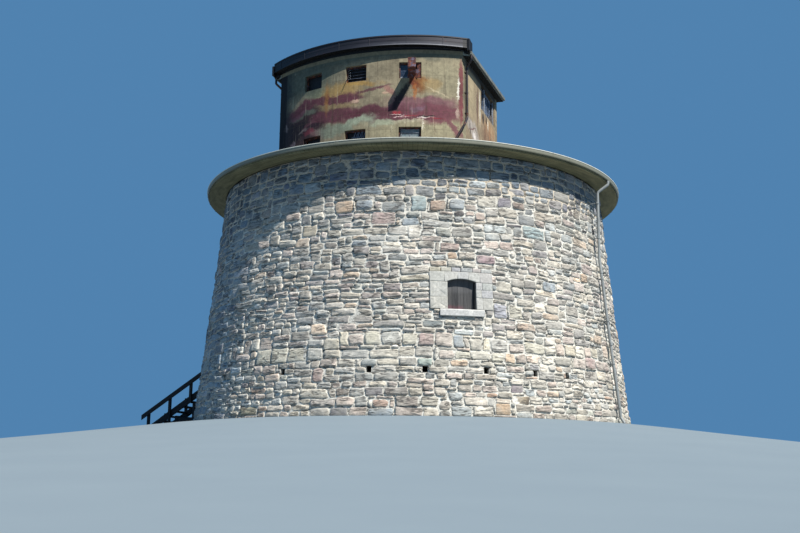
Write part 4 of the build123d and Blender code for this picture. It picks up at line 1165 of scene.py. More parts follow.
def mat_post(name, axis, blobs, thin=(), tan=(131, 120, 97)):
    M = Mat(name, rough=0.82, spec=0.3)
    n, u, z, s = local(M)
    t = {"front": s, "back": n}.get(axis)
    if t is None:                          # side walls: the far side is 20 m along
        t = M.math('ADD', u, M.math('MULTIPLY', M.math('LESS_THAN', n, 0.0), 20.0))
    P0 = M.comb(t, z, 0.0)
    w1 = M.vmath('MULTIPLY', M.vmath('SUBTRACT', M.noise(1.3, 2, vec=P0, out='Color'), (0.5, 0.5, 0.5)), (0.9, 0.55, 0))
    w2 = M.vmath('MULTIPLY', M.vmath('SUBTRACT', M.noise(6.0, 3, vec=P0, out='Color'), (0.5, 0.5, 0.5)), (0.32, 0.22, 0))
    w3 = M.vmath('MULTIPLY', M.vmath('SUBTRACT', M.noise(24, 2, vec=P0, out='Color'), (0.5, 0.5, 0.5)), (0.10, 0.08, 0))
    P = M.vmath('ADD', M.vmath('ADD', P0, w1), M.vmath('ADD', w2, w3))
    P2 = M.vmath('ADD', P0, M.vmath('ADD', M.vmath('MULTIPLY', w2, (0.5, 0.5, 0)), w3))
    big = M.noise(1.1, 4, 0.6, vec=P0)
    mid = M.noise(7.0, 5, 0.62, vec=P0)
    fine = M.noise(60, 4, 0.7)
    c = M.ramp(big, [(0.30, srgb(*[v * 0.86 for v in tan])), (0.5, srgb(*tan)), (0.70, srgb(*[min(v * 1.10, 240) for v in tan]))])
    for bl in blobs:
        c = blob(M, P, c, *bl)
    for bl in thin:
        c = blob(M, P2, c, *bl)
    # worn patches where the paint has gone and the grey concrete shows
    worn = M.rng(M.noise(9, 6, 0.72, vec=M.map(P0, loc=(7, 3, 0), scale=(1, 0.7, 1))), 0.63, 0.67)
    c = M.mix(M.math('MULTIPLY', worn, 0.66), c, srgb(164, 155, 134))
    chip = M.rng(M.noise(17, 5, 0.7, vec=M.map(P0, loc=(21, 4, 0))), 0.60, 0.65)
    c = M.mix(M.math('MULTIPLY', chip, 0.40), c, srgb(78, 66, 58))
    # run-off streaks
    dk = M.rng(M.noise(1.0, 5, 0.65, vec=M.map(P0, scale=(9, 0.45, 1))), 0.54, 0.70)
    c = M.mix(M.math('MULTIPLY', dk, 0.46), c, srgb(66, 54, 44))
    lt = M.rng(M.noise(1.0, 5, 0.65, vec=M.map(P0, loc=(31, 8, 0), scale=(14, 0.6, 1))), 0.60, 0.72)
    c = M.mix(M.math('MULTIPLY', lt, 0.42), c, srgb(206, 197, 166))
    c = M.bright(c, mid, 0.70, 1.28)
    c = M.bright(c, M.noise(2.6, 5, 0.66, vec=M.map(P0, loc=(5, 15, 0), scale=(1, 0.6, 1))), 0.80, 1.22)
    c = M.bright(c, fine, 0.88, 1.10)
    # marks of the form boards
    bl1 = M.line(M.math('ADD', t, M.math('MULTIPLY', M.math('SUBTRACT', big, 0.5), 0.03)), 0.185, 0.0035)
    bl2 = M.line(z, 0.61, 0.006)
    lines = M.math('MAXIMUM', bl1, bl2)
    c = M.mix(M.math('MULTIPLY', lines, 0.30), c, srgb(84, 72, 56))
    # grime and painted shade at the head under the roof
    hd = M.rng(M.math('ADD', z, M.math('MULTIPLY', mid, 0.30)), 11.72, 11.95, 0.0, 0.45)
    c = M.mix(hd, c, srgb(84, 88, 74))
    if axis == "front":
        # painted shade towards the left end of the front wall, and a near-black painted shade strip at its left corner
        c = M.mix(M.rng(M.math('ADD', s, M.math('MULTIPLY', mid, 0.3)), -2.25, -2.85, 0.0, 0.38), c, srgb(30, 37, 44))
        c = M.mix(M.rng(M.math('ADD', s, M.math('MULTIPLY', mid, 0.03)), -3.00, -3.04, 0.0, 0.86), c, srgb(13, 12, 20))
    if axis == "side":
        # painted shadow of the roof's overhang, nearly black, along the head of the side walls
        top = M.math('MULTIPLY_ADD', u, 0.055, 11.75 + 0.055 * 4.93)
        side_painted_eave_shade = M.rng(M.math('SUBTRACT', top, M.math('ADD', z, M.math('MULTIPLY', mid, 0.12))), 0.22, 0.06, 0.0, 0.85)
        c = M.mix(side_painted_eave_shade, c, srgb(38, 35, 34))
    M.colour(c)
    h = M.math('SUBTRACT', M.math('ADD', M.math('MULTIPLY', mid, 0.5), M.math('MULTIPLY', fine, 0.4)), M.math('MULTIPLY', lines, 0.5))
    h = M.math('SUBTRACT', h, M.math('MULTIPLY', worn, 0.5))
    M.normal(M.bump(h, 0.6, 0.008))
    return M.m


A = 5.8 * math.pi / 180.0      # metres of arc for a degree on the front wall
MAR, DMAR, LMAR = (90, 48, 58), (58, 32, 42), (112, 73, 80)
FRONT = [
    # lighter ground low on the right and at the right hand
    ((146, 138, 110), 20 * A, 9.15, 1.9, 0.42, 0, 0.4, 0.8), ((138, 130, 104), 26 * A, 10.9, 0.9, 0.65, 0, 0.5, 0.7),
    # ochre under the upper windows
    ((160, 128, 74), -7.5 * A, 10.58, 0.85, 0.28, 0, 0.5, 0.74), ((160, 124, 62), 0.5 * A, 10.80, 0.62, 0.10, 0, 0.4, 0.75),
    ((140, 112, 74), -9 * A, 10.10, 0.80, 0.22, 0, 0.5, 0.6), ((118, 122, 98), -16 * A, 10.68, 0.45, 0.22, 0, 0.4, 0.8),
    # dark green-grey under the kerb and down the left end: grime and painted shade
    ((76, 84, 74), -22 * A, 11.35, 1.5, 0.60, -8, 0.4, 0.8), ((80, 86, 76), 2 * A, 11.80, 3.4, 0.26, 0, 0.4, 0.8),
    ((40, 50, 50), -33.5 * A, 10.7, 0.62, 1.7, 0, 0.5, 0.8),
    # maroon, the lower left; its darkest patches are partly painted shade of the wall's left end
    ((50, 28, 38), -22 * A, 9.66, 1.15, 0.72, 0, 0.25, 0.92), (MAR, -10.5 * A, 10.36, 1.15, 0.125, -3, 0.3, 0.95),
    (MAR, -2.2 * A, 10.34, 0.28, 0.17, 0, 0.4, 0.9), (MAR, -21 * A, 10.30, 0.55, 0.22, 10, 0.3, 0.9),
    (MAR, -9.5 * A, 9.82, 0.95, 0.20, 2, 0.3, 0.95), ((124, 92, 88), -14.5 * A, 9.34, 0.34, 0.13, 0, 0.5, 0.8),
    ((100, 104, 90), -21 * A, 10.02, 0.50, 0.09, 4, 0.4, 0.8), ((24, 18, 28), -27 * A, 9.50, 0.75, 0.36, 10, 0.4, 0.9),
    ((96, 58, 66), -19 * A, 9.62, 0.28, 0.12, 12, 0.4, 0.8), ((138, 126, 126), -29.4 * A, 9.80, 0.12, 0.12, 0, 0.4, 0.75),
    ((136, 118, 120), -26.3 * A, 9.07, 0.18, 0.12, 0, 0.4, 0.75), ((112, 50, 60), -19.2 * A, 9.38, 0.27, 0.10, 8, 0.35, 0.85),
    ((98, 60, 72), -23.0 * A, 10.06, 0.30, 0.08, 12, 0.35, 0.85), ((34, 20, 30), -16.5 * A, 9.62, 0.40, 0.07, 8, 0.35, 0.85),
    ((120, 108, 104), -22.0 * A, 9.50, 0.20, 0.05, 14, 0.4, 0.7),
    # maroon, the long band to the right
    (MAR, 12 * A, 9.705, 1.95, 0.280, 0.5, 0.20, 0.97), (LMAR, 21 * A, 10.02, 1.15, 0.25, 0, 0.35, 0.90),
    ((100, 55, 63), 23.5 * A, 9.665, 1.05, 0.305, 0, 0.22, 0.92), ((116, 92, 104), 18.5 * A, 9.80, 0.30, 0.10, 0, 0.5, 0.6), ((78, 40, 48), 5 * A, 9.76, 0.75, 0.13, 0, 0.4, 0.85),
    ((110, 66, 72), 30.3 * A, 9.25, 0.13, 0.36, 22, 0.35, 0.9),
    # pale green and cream, low
    ((142, 150, 128), -0.5 * A, 9.50, 0.55, 0.13, 12, 0.4, 0.9), ((146, 150, 126), 7.5 * A, 9.40, 0.50, 0.11, 0, 0.4, 0.85),
    ((118, 126, 108), -8.5 * A, 9.36, 0.62, 0.20, 0, 0.4, 0.8), ((168, 160, 134), 17 * A, 9.42, 0.55, 0.07, 0, 0.5, 0.8),
    # rust below the beam
    ((114, 64, 24), 19.8 * A, 10.72, 0.24, 0.20, 0, 0.6, 0.94), ((156, 124, 70), 23.2 * A, 10.66, 0.25, 0.18, 0, 0.6, 0.45),
    ((96, 38, 18), 18.6 * A, 10.76, 0.12, 0.16, 0, 0.6, 0.9)]
THIN = [
    (MAR, 4.6 * A, 10.56, 0.62, 0.045, 11, 0.35, 0.85), ((142, 92, 86), 10.4 * A, 10.47, 0.22, 0.11, -40, 0.4, 0.7),
    ((184, 150, 126), 8.6 * A, 10.40, 0.10, 0.05, 0, 0.4, 0.8), ((188, 156, 132), -1.0 * A, 10.20, 0.14, 0.05, 10, 0.4, 0.8),
    ((196, 178, 146), 25.6 * A, 10.42, 0.46, 0.022, -24, 0.4, 0.5),
    # paint peeling in strips along the foot of the band
    ((158, 44, 52), 12.6 * A, 9.70, 0.13, 0.055, 0, 0.5, 0.75), ((64, 20, 28), 13.4 * A, 9.615, 0.30, 0.017, -3, 0.4, 0.9),
    ((218, 186, 178), 12.9 * A, 9.640, 0.24, 0.010, -4, 0.4, 0.85), ((222, 190, 184), 14.0 * A, 9.575, 0.27, 0.012, 2, 0.4, 0.85),
    ((148, 46, 56), 16.8 * A, 9.60, 0.26, 0.020, 2, 0.4, 0.7), ((14, 10, 13), 21.9 * A, 9.590, 0.26, 0.022, 2, 0.3, 0.96),
    ((228, 216, 206), 21.6 * A, 9.548, 0.24, 0.013, 2, 0.35, 0.95), ((120, 34, 44), 24.6 * A, 9.53, 0.30, 0.022, -3, 0.4, 0.8),
    # painted shadow of the beam: a dark streak running down-left below it
    ((22, 19, 25), 13.7 * A, 10.24, 0.60, 0.120, 59, 0.35, 0.90),
    # streaks and the worn right corner
    ((146, 98, 48), -11.5 * A, 10.45, 0.07, 0.48, 0, 0.7, 0.62), ((150, 88, 38), 18.2 * A, 10.42, 0.05, 0.26, 0, 0.5, 0.8),
    ((216, 208, 186), 20.9 * A, 9.33, 0.018, 0.24, 0, 0.4, 0.7), ((112, 84, 64), 15.5 * A, 9.20, 0.012, 0.25, 0, 0.4, 0.7),
    ((104, 78, 60), 24.5 * A, 9.25, 0.012, 0.28, 0, 0.4, 0.6), ((196, 190, 160), 11.0 * A, 9.22, 0.012, 0.2, 0, 0.4, 0.6),
    ((108, 50, 56), 33.2 * A, 10.45, 0.085, 1.10, 0, 0.3, 0.92), ((222, 214, 198), 32.2 * A, 10.58, 0.036, 0.37, -2, 0.35, 0.95),
    ((178, 160, 142), 31.9 * A, 9.75, 0.05, 0.16, 0, 0.4, 0.5)]
SIDES = [
    ((166, 150, 118), -3.9, 10.9, 0.8, 0.8, 0, 0.5, 0.6), ((164, 154, 144), -3.45, 9.62, 0.75, 0.32, 0, 0.3, 0.88),
    ((166, 130, 92), -1.2, 10.45, 1.0, 0.25, 0, 0.5, 0.6), ((122, 88, 66), -1.4, 9.9, 0.9, 0.5, 0, 0.4, 0.6),
    ((112, 60, 62), -2.0, 9.25, 1.1, 0.35, 0, 0.3, 0.85), ((150, 152, 124), -0.3, 9.4, 0.5, 0.4, 0, 0.4, 0.8),
    (MAR, 16.4, 9.9, 1.3, 0.5, 10, 0.3, 0.95), (DMAR, 18.6, 9.3, 1.2, 0.35, -8, 0.3, 0.9), ((190, 142, 70), 17.6, 10.5, 0.9, 0.25, 0, 0.5, 0.8),
    ((156, 160, 130), 15.9, 10.8, 0.6, 0.3, 0, 0.4, 0.8), ((196, 186, 148), 19.4, 10.4, 0.6, 0.3, 0, 0.4, 0.7)]
SIDES_THIN = [
    ((92, 64, 56), -2.88, 10.72, 0.11, 0.62, 0, 0.4, 0.85), ((206, 196, 180), -2.52, 10.80, 0.07, 0.62, 0, 0.4, 0.9),
    ((78, 48, 38), -3.2, 11.1, 0.03, 0.4, 0, 0.5, 0.6), ((112, 56, 62), -4.72, 10.6, 0.09, 1.0, 0, 0.35, 0.9),
    ((44, 38, 36), -2.05, 10.58, 0.16, 0.20, 0, 0.4, 0.9), ((40, 34, 34), -1.60, 10.64, 0.10, 0.14, 0, 0.4, 0.9),
    ((222, 214, 196), -1.35, 10.55, 0.04, 0.2, 0, 0.4, 0.9), ((148, 104, 72), -1.05, 10.35, 0.06, 0.38, 0, 0.5, 0.8),
    ((150, 108, 78), -0.55, 10.2, 0.05, 0.45, 0, 0.5, 0.8), ((92, 58, 42), -1.8, 10.1, 0.05, 0.4, 0, 0.5, 0.8),
    ((90, 40, 44), -3.6, 9.66, 0.5, 0.03, 20, 0.4, 0.7), ((58, 48, 44), -3.1, 9.75, 0.3, 0.02, -30, 0.4, 0.7),
    ((52, 44, 42), -3.9, 9.60, 0.06, 0.26, 14, 0.4, 0.7), ((214, 206, 198), -3.35, 9.50, 0.22, 0.10, 0, 0.4, 0.8)]
BACK = [
    (MAR, -1.9, 10.2, 1.2, 0.35, 8, 0.3, 0.92), ((190, 142, 70), 0.4, 10.6, 0.8, 0.22, 0, 0.5, 0.7), (DMAR, 1.9, 9.9, 1.1, 0.4, -10, 0.3, 0.9),
    ((156, 160, 130), 0.2, 9.8, 0.7, 0.25, 0, 0.4, 0.8), ((196, 188, 150), 2.4, 11.0, 0.6, 0.4, 0, 0.4, 0.6)]
BACK_THIN = [((130, 76, 40), x, 10.55, 0.05, 0.34, 0, 0.5, 0.8) for x in (-2.0, -1.4, -0.3, 0.25, 1.55, 2.0)]
PAINT_F = mat_post("front_wall_paint", "front", FRONT, THIN)
PAINT_S = mat_post("side_wall_paint", "side", SIDES, SIDES_THIN, tan=(141, 125, 100))
PAINT_B = mat_post("back_wall_paint", "back", BACK, BACK_THIN)


def paint(nodes, mat, slot_name=None):
    for nm in nodes:
        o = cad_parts[nm]
        o.data.materials.clear()
        o.data.materials.append(mat)


paint(["post_front_wall_left", "post_front_wall_middle", "post_front_wall_right"], PAINT_F)
paint(["post_side_walls"], PAINT_S)
paint(["post_back_wall"], PAINT_B)


def mat_roof_sheet():
    M = Mat("weathered_roof_sheet", rough=0.6, spec=0.4)
    x, y, z = M.sep()
    st = M.noise(3, 5, 0.6, vec=M.map(scale=(1.6, 1.6, 0.6)))
    mid = M.noise(12, 5, 0.65)
    fine = M.noise(90, 3, 0.6)
    c = M.ramp(st, [(0.3, srgb(70, 66, 64)), (0.55, srgb(96, 92, 88)), (0.75, srgb(116, 110, 104))])
    rust = M.rng(M.noise(5, 6, 0.7, vec=M.map(loc=(3, 3, 3))), 0.58, 0.68)
    c = M.mix(M.math('MULTIPLY', rust, 0.6), c, srgb(116, 76, 54))
    c = M.bright(c, mid, 0.84, 1.12)
    lap = M.line(M.vmath('LENGTH', M.comb(x, y, 0.0), out=1), 1.9, 0.006)
    c = M.mix(M.math('MULTIPLY', lap, 0.7), c, srgb(44, 40, 38))
    M.colour(c)
    M.rough(M.rng(mid, 0.3, 0.7, 0.5, 0.8))
    M.normal(M.bump(M.math('ADD', M.math('MULTIPLY', mid, 0.4), M.math('SUBTRACT', M.math('MULTIPLY', fine, 0.2), lap)), 0.5, 0.006))
    return M.m


def mat_soffit():
    M = Mat("painted_soffit_boards", rough=0.8, spec=0.3)
    a = M.azimuth(7.2)
    gap = M.line(a, 0.152, 0.004)
    st = M.noise(1.0, 5, 0.6, vec=M.map(M.comb(a, M.sep()[2], M.vmath('LENGTH', M.comb(M.sep()[0], M.sep()[1], 0.0), out=1)), scale=(1.2, 1, 5)))
    fine = M.noise(40, 4, 0.65)
    c = M.ramp(st, [(0.3, srgb(92, 88, 62)), (0.5, srgb(118, 112, 82)), (0.72, srgb(140, 132, 98))])
    c = M.bright(c, fine, 0.86, 1.1)
    c = M.mix(M.math('MULTIPLY', gap, 0.75), c, srgb(34, 32, 24))
    M.colour(c)
    M.normal(M.bump(M.math('SUBTRACT', M.math('MULTIPLY', fine, 0.3), gap), 0.5, 0.006))
    return M.m


def mat_gutter():
    M = Mat("gutter_paint", rough=0.5, spec=0.5)
    z = M.sep()[2]
    a = M.azimuth(7.5)
    mid = M.noise(9, 5, 0.65)
    st = M.noise(1.0, 4, 0.6, vec=M.map(M.comb(a, z, 0.0), scale=(7, 1.5, 1)))
    c = M.mix(M.rng(z, 8.150, 8.200), srgb(92, 92, 76), srgb(122, 121, 106))
    c = M.mix(M.rng(z, 8.256, 8.266), c, srgb(208, 206, 192))
    c = M.bright(c, mid, 0.88, 1.08)
    c = M.mix(M.rng(st, 0.58, 0.72, 0.0, 0.35), c, srgb(92, 84, 66))
    M.colour(c)
    M.normal(M.bump(mid, 0.2, 0.003))
    return M.m


def mat_kerb():
    M = Mat("kerb_dark_sheet", rough=0.55, spec=0.45)
    n, u, z, s = local(M)
    P0 = M.comb(s, z, 0.0)
    st = M.noise(1.0, 5, 0.65, vec=M.map(P0, scale=(0.7, 14, 1)))
    mid = M.noise(9, 5, 0.65)
    big = M.noise(0.9, 3, 0.6, vec=P0)
    c = M.ramp(st, [(0.32, srgb(9, 11, 18)), (0.5, srgb(19, 18, 28)), (0.68, srgb(36, 31, 40))])
    # darker and bluer towards the left end: painted shade where the kerb turns from the light
    c = M.mix(M.rng(s, -1.0, -2.6, 0.0, 0.7), c, srgb(10, 12, 22))
    k = M.math('MULTIPLY', M.rng(s, -1.0, 2.0), M.rng(M.noise(1.0, 5, 0.6, vec=M.map(P0, loc=(3, 9, 0), scale=(0.6, 9, 1))), 0.40, 0.60))
    c = M.mix(M.math('MULTIPLY', k, 0.42), c, srgb(52, 48, 58))
    low = M.math('MULTIPLY', M.rng(M.math('ADD', z, M.math('MULTIPLY', big, 0.06)), 12.09, 12.04), M.rng(s, -0.8, 1.4))
    c = M.mix(M.math('MULTIPLY', low, 0.5), c, srgb(72, 74, 82))
    # painted highlight along the lower lip, on the right part
    edge = M.math('MULTIPLY', M.rng(z, 11.975, 11.955), M.rng(s, 0.2, 1.8))
    c = M.mix(M.math('MULTIPLY', edge, 0.55), c, srgb(150, 150, 154))
    c = M.bright(c, mid, 0.82, 1.14)
    c = M.bright(c, big, 0.82, 1.16)
    rust = M.rng(M.noise(7, 6, 0.7, vec=M.map(loc=(5, 5, 5))), 0.62, 0.70)
    c = M.mix(M.math('MULTIPLY', rust, 0.45), c, srgb(84, 46, 36))
    # the ends painted nearly black; the foot under the overhang and the downward faces nearly black as painted shade
    c = M.mix(M.rng(M.math('ABSOLUTE', n), 3.27, 3.30), c, srgb(9, 8, 12))
    c = M.mix(M.rng(z, 11.934, 11.930), c, srgb(9, 8, 9))
    nz = M.sep(M.node('ShaderNodeNewGeometry').outputs['Normal'])[2]
    c = M.mix(M.rng(nz, -0.4, -0.6), c, srgb(9, 8, 9))
    M.colour(c)
    M.normal(M.bump(M.math('ADD', M.math('MULTIPLY', st, 0.5), M.math('MULTIPLY', mid, 0.5)), 0.4, 0.006))
    return M.m


def mat_slab():
    M = Mat("post_roof_covering", rough=0.9, spec=0.2)
    nz = M.sep(M.node('ShaderNodeNewGeometry').outputs['Normal'])[2]
    mid = M.noise(8, 5, 0.65)
    fine = M.noise(140, 3, 0.7)
    top = M.ramp(mid, [(0.3, srgb(58, 57, 54)), (0.6, srgb(84, 82, 77)), (0.8, srgb(104, 101, 92))])
    side = M.ramp(mid, [(0.3, srgb(112, 114, 106)), (0.6, srgb(138, 140, 130)), (0.8, srgb(154, 154, 142))])
    x, y, z = M.sep()
    n = M.vmath('DOT_PRODUCT', M.co, tuple(NV), out=1)
    front = M.math('MULTIPLY', M.rng(M.vmath('LENGTH', M.comb(x, y, 0.0), out=1), 5.788, 5.796), M.rng(M.math('ABSOLUTE', n), 3.24, 3.22))
    side = M.mix(front, side, M.ramp(mid, [(0.3, srgb(104, 98, 80)), (0.7, srgb(134, 124, 100))]))
    c = M.mix(M.rng(nz, 0.45, 0.6), side, top)
    # painted shade: the downward faces nearly black
    c = M.mix(M.rng(nz, -0.4, -0.6), c, srgb(34, 34, 31))
    c = M.bright(c, fine, 0.82, 1.14)
    M.colour(c)
    M.normal(M.bump(M.math('ADD', mid, M.math('MULTIPLY', fine, 0.5)), 0.5, 0.006))
    return M.m


def mat_floor_stone():
    M = Mat("flagstone_floor", rough=0.9, spec=0.2)
    x, y, z = M.sep()
    row = M.math('FLOOR', M.math('DIVIDE', y, 0.62))
    sh = M.math('MULTIPLY', M.math('FRACT', M.math('MULTIPLY', row, 0.5)), 0.9)
    ln = M.math('MAXIMUM', M.line(M.math('ADD', y, 0.31), 0.62, 0.005), M.line(M.math('ADD', x, sh), 0.9, 0.005))
    mid = M.noise(6, 5, 0.65)
    c = M.ramp(mid, [(0.3, srgb(116, 112, 104)), (0.55, srgb(140, 134, 124)), (0.8, srgb(160, 152, 138))])
    c = M.mix(M.math('MULTIPLY', ln, 0.8), c, srgb(70, 64, 56))
    M.colour(c)
    M.normal(M.bump(M.math('SUBTRACT', M.math('MULTIPLY', mid, 0.4), ln), 0.5, 0.008))
    return M.m


def mat_boards(name, dark, base, light, pitch, axis='x', paintk=None):
    M = Mat(name, rough=0.78, spec=0.3)
    x, y, z = M.sep()
    t, l = (x, y) if axis == 'x' else (y, x)
    idx = M.math('FLOOR', M.math('DIVIDE', t, pitch))
    gr = M.noise(1.0, 5, 0.62, vec=M.map(M.comb(t, l, M.math('ADD', z, M.math('MULTIPLY', idx, 3.7))), scale=(26, 1.3, 26)), dist=0.8)
    c = M.ramp(gr, [(0.3, dark), (0.52, base), (0.75, light)])
    ln = M.line(M.math('ADD', t, pitch / 2), pitch, 0.003)
    c = M.mix(M.math('MULTIPLY', ln, 0.9), c, srgb(18, 14, 12))
    M.colour(c)
    M.normal(M.bump(M.math('SUBTRACT', M.math('MULTIPLY', gr, 0.5), ln), 0.5, 0.005))
    return M.m


def mat_glass():
    M = Mat("dusty_pane", rough=0.25, spec=0.6)
    dust = M.noise(5, 6, 0.7)
    c = M.ramp(dust, [(0.35, srgb(26, 34, 48)), (0.6, srgb(52, 64, 84)), (0.8, srgb(104, 112, 118))])
    M.colour(c)
    M.rough(M.rng(dust, 0.4, 0.7, 0.15, 0.7))
    return M.m


def mat_timber(name, dark, base, light, grain):
    """grain: mapping scale, small along the length of the member."""
    M = Mat(name, rough=0.72, spec=0.35)
    g1 = M.noise(1.0, 5, 0.64, vec=M.map(scale=grain), dist=1.1)
    g2 = M.noise(30, 4, 0.65)
    c = M.ramp(g1, [(0.3, dark), (0.52, base), (0.76, light)])
    c = M.bright(c, g2, 0.84, 1.14)
    wear = M.rng(M.noise(4, 5, 0.7, vec=M.map(loc=(2, 5, 1))), 0.60, 0.70)
    c = M.mix(M.math('MULTIPLY', wear, 0.4), c, srgb(88, 80, 72))
    M.colour(c)
    M.rough(M.rng(g1, 0.3, 0.7, 0.6, 0.85))
    M.normal(M.bump(M.math('ADD', g1, M.math('MULTIPLY', g2, 0.3)), 0.6, 0.004))
    return M.m


ROOF = mat_roof_sheet()
SOFFIT = mat_soffit()
GUTTER = mat_gutter()
KERB = mat_kerb()
SLAB = mat_slab()
FLAGS = mat_floor_stone()
FLOORB = mat_boards("entrance_floor_boards", srgb(74, 54, 36), srgb(108, 82, 56), srgb(134, 106, 76), 0.16)
GLASS = mat_glass()
DARK = mat_paint_metal("dark_pipe_paint", srgb(34, 26, 29), srgb(52, 40, 42), srgb(96, 54, 36), rust_at=0.60)
EDGE = mat_paint_metal("roof_edge_paint", srgb(120, 122, 114), srgb(94, 96, 90), srgb(86, 60, 44), rust_at=0.64, rough=0.6)
PIPE = mat_paint_metal("drum_pipe_paint", srgb(143, 146, 144), srgb(120, 124, 124), srgb(120, 90, 66), rust_at=0.70, streak=0.2)
RUST = mat_rusted("rusted_frames", a=(62, 40, 36), b=(34, 26, 27))
BEAM = mat_rusted("rusted_beam", a=(92, 56, 52), b=(52, 40, 46), paint=(108, 98, 114), paint_amt=0.85)
STAIR = mat_timber("stair_timber_dark", srgb(20, 19, 21), srgb(36, 34, 36), srgb(58, 54, 54), (18, 18, 18))
TREAD = mat_timber("stair_tread_timber", srgb(26, 24, 24), srgb(46, 42, 40), srgb(74, 67, 60), (22, 3, 22))
IRON = mat_paint_metal("black_iron", srgb(24, 23, 24), srgb(36, 34, 34), srgb(84, 48, 32), rust_at=0.62)

paint(["roof_front", "roof_sides", "roof_rear"], ROOF)
paint(["eave_front", "eave_back"], SOFFIT)
paint(["post_roof_kerb"], KERB)
paint(["post_roof_slab"], SLAB)
paint(["post_downpipes"], DARK)
paint(["post_side_gutters"], EDGE)
paint(["drum_downpipe"], PIPE)
paint(["post_window_frames"], RUST)
paint(["steel_beam"], BEAM)
paint(["ground_floor", "gun_platform"], FLAGS)
paint(["entrance_floor"], FLOORB)
paint(["post_upper_floor"], FLAGS)
paint(["post_panes"], GLASS)
paint(["stair_stringers", "stair_supports", "stair_rails"], STAIR)
paint(["stair_treads"], TREAD)


# ==================================================================== gutter
prof = [(7.4320, 8.284), (7.4390, 8.284), (7.4390, 8.150), (7.4500, 8.1420), (7.4700, 8.1420), (7.4860, 8.154),
        (7.4930, 8.184), (7.4940, 8.232), (7.4990, 8.258), (7.5085, 8.266), (7.5085, 8.284), (7.5000, 8.284),
        (7.4990, 8.272), (7.4900, 8.262), (7.4860, 8.232), (7.4850, 8.188), (7.4790, 8.162), (7.4680, 8.151),
        (7.4500, 8.151), (7.4440, 8.158), (7.4440, 8.270), (7.4320, 8.270)]
B = Build()
arc_sweep(B, prof[::-1], 0.0, 360.0, 240, closed=True,
          wob=lambda az, j: (0.0, 0.0025 * math.sin(math.radians(az * 9)) if 0 < j < 20 else 0.0))
for k in range(12):                      # sleeves over the joints
    a = 12.0 + 30.0 * k
    sl = [(7.4470, 8.1385), (7.4720, 8.1385), (7.4890, 8.151), (7.4965, 8.183), (7.4975, 8.232), (7.5025, 8.254),
          (7.4900, 8.262), (7.4860, 8.232), (7.4850, 8.188), (7.4790, 8.162), (7.4680, 8.151), (7.4500, 8.151)]
    arc_sweep(B, sl[::-1], a - 0.55, a + 0.55, 3)
for k in range(48):                      # straps under it
    a = 3.0 + 7.5 * k
    c = cyl(a, 7.455, 8.133)
    ex = np.array([math.cos(math.radians(a)), math.sin(math.radians(a)), 0])
    ey = np.array([math.sin(math.radians(a)), -math.cos(math.radians(a)), 0])
    slab(B, c, ex, ey, (0, 0, 1), 0.028, 0.085, 0.006, bev=0.0015)
B.make("gutter_ring", GUTTER, slot="gutter_paint", replaces=["eave_gutter"], sharp=30)


# ================================================================= roof seams
def ztop(r):
    return 8.275 + (7.43 - r) * 0.17633


def in_post(x, y, grow=0.03):
    n = x * NV[0] + y * NV[1]
    u = x * UV[0] + y * UV[1]
    return abs(n) < 3.22 + grow and u < 0.10 + grow and (u > -3.0 or n * n + u * u < (5.8 + grow) ** 2)


B = Build()
for k in range(80):
    az = 2.0 + 4.5 * k
    stop = 0.55 if k % 4 == 0 else (1.5 if k % 2 == 0 else 3.0)
    r = 7.415
    while r > stop and not in_post(*cyl(az, r, 0)[:2]):
        r -= 0.02
    if 7.415 - r < 0.1:
        continue
    r0, r1 = r, 7.415
    a = math.radians(az)
    rad = np.array([math.sin(a), -math.cos(a), 0.0])
    ey = rad * math.cos(math.radians(10)) - np.array([0, 0, 1]) * math.sin(math.radians(10))
    ez = np.cross(np.array([math.cos(a), math.sin(a), 0.0]), ey)
    if ez[2] < 0:
        ez = -ez
    mid = rad * ((r0 + r1) / 2) + np.array([0, 0, ztop((r0 + r1) / 2) + 0.016])
    slab(B, mid, np.array([math.cos(a), math.sin(a), 0.0]), ey, ez, 0.026, (r1 - r0) / math.cos(math.radians(10)), 0.044,
         bev=0.006)
# cap where the seams meet, and the drip edge
arc_sweep(B, [(0.02, 9.600), (0.62, 9.492), (0.64, 9.475), (0.62, 9.470), (0.02, 9.575)], 75, 255, 24)
arc_sweep(B, [(7.36, 8.289), (7.425, 8.278), (7.431, 8.262), (7.425, 8.262), (7.36, 8.280)], 0, 360, 180, closed=True)


def strip(B, pts, out, height, thick, lift=0.0):
    """A flashing along a line of points, standing up by height."""
    V, F = [], []
    for p_, o_ in zip(pts, out):
        p_ = np.asarray(p_, float)
        o_ = np.asarray(o_, float)
        V += [p_ + (0, 0, lift), p_ + o_ * thick + (0, 0, lift), p_ + o_ * thick + (0, 0, height), p_ + (0, 0, height + 0.008)]
    for i in range(len(pts) - 1):
        for j in range(4):
            j2 = (j + 1) % 4
            F.append((4 * i + j, 4 * i + j2, 4 * i + 4 + j2, 4 * i + 4 + j))
    F += [(0, 3, 2, 1), (4 * len(pts) - 4, 4 * len(pts) - 3, 4 * len(pts) - 2, 4 * len(pts) - 1)]
    B.add(V, F)


def on_post(n, u, z):
    return NV * n + UV * u + np.array([0, 0, z])


ph = np.linspace(-33.7, 33.7, 40)
strip(B, [cyl(p_ - 17.7, 5.80, 8.545) for p_ in ph], [cyl(p_ - 17.7, 1.0, 0) for p_ in ph], 0.17, 0.010)
for sg in (-1, 1):
    us = np.linspace(-4.82, 0.10, 24)
    strip(B, [on_post(sg * 3.22, u_, ztop(math.hypot(3.22, u_)) - 0.02) for u_ in us], [NV * sg] * 24, 0.17, 0.010)
ns = np.linspace(-3.22, 3.22, 26)
strip(B, [on_post(n_, 0.10, ztop(math.hypot(n_, 0.1)) - 0.02) for n_ in ns], [UV] * 26, 0.17, 0.010)
B.make("roof_seams_and_flashing", ROOF, slot="roof_metal", sharp=35)


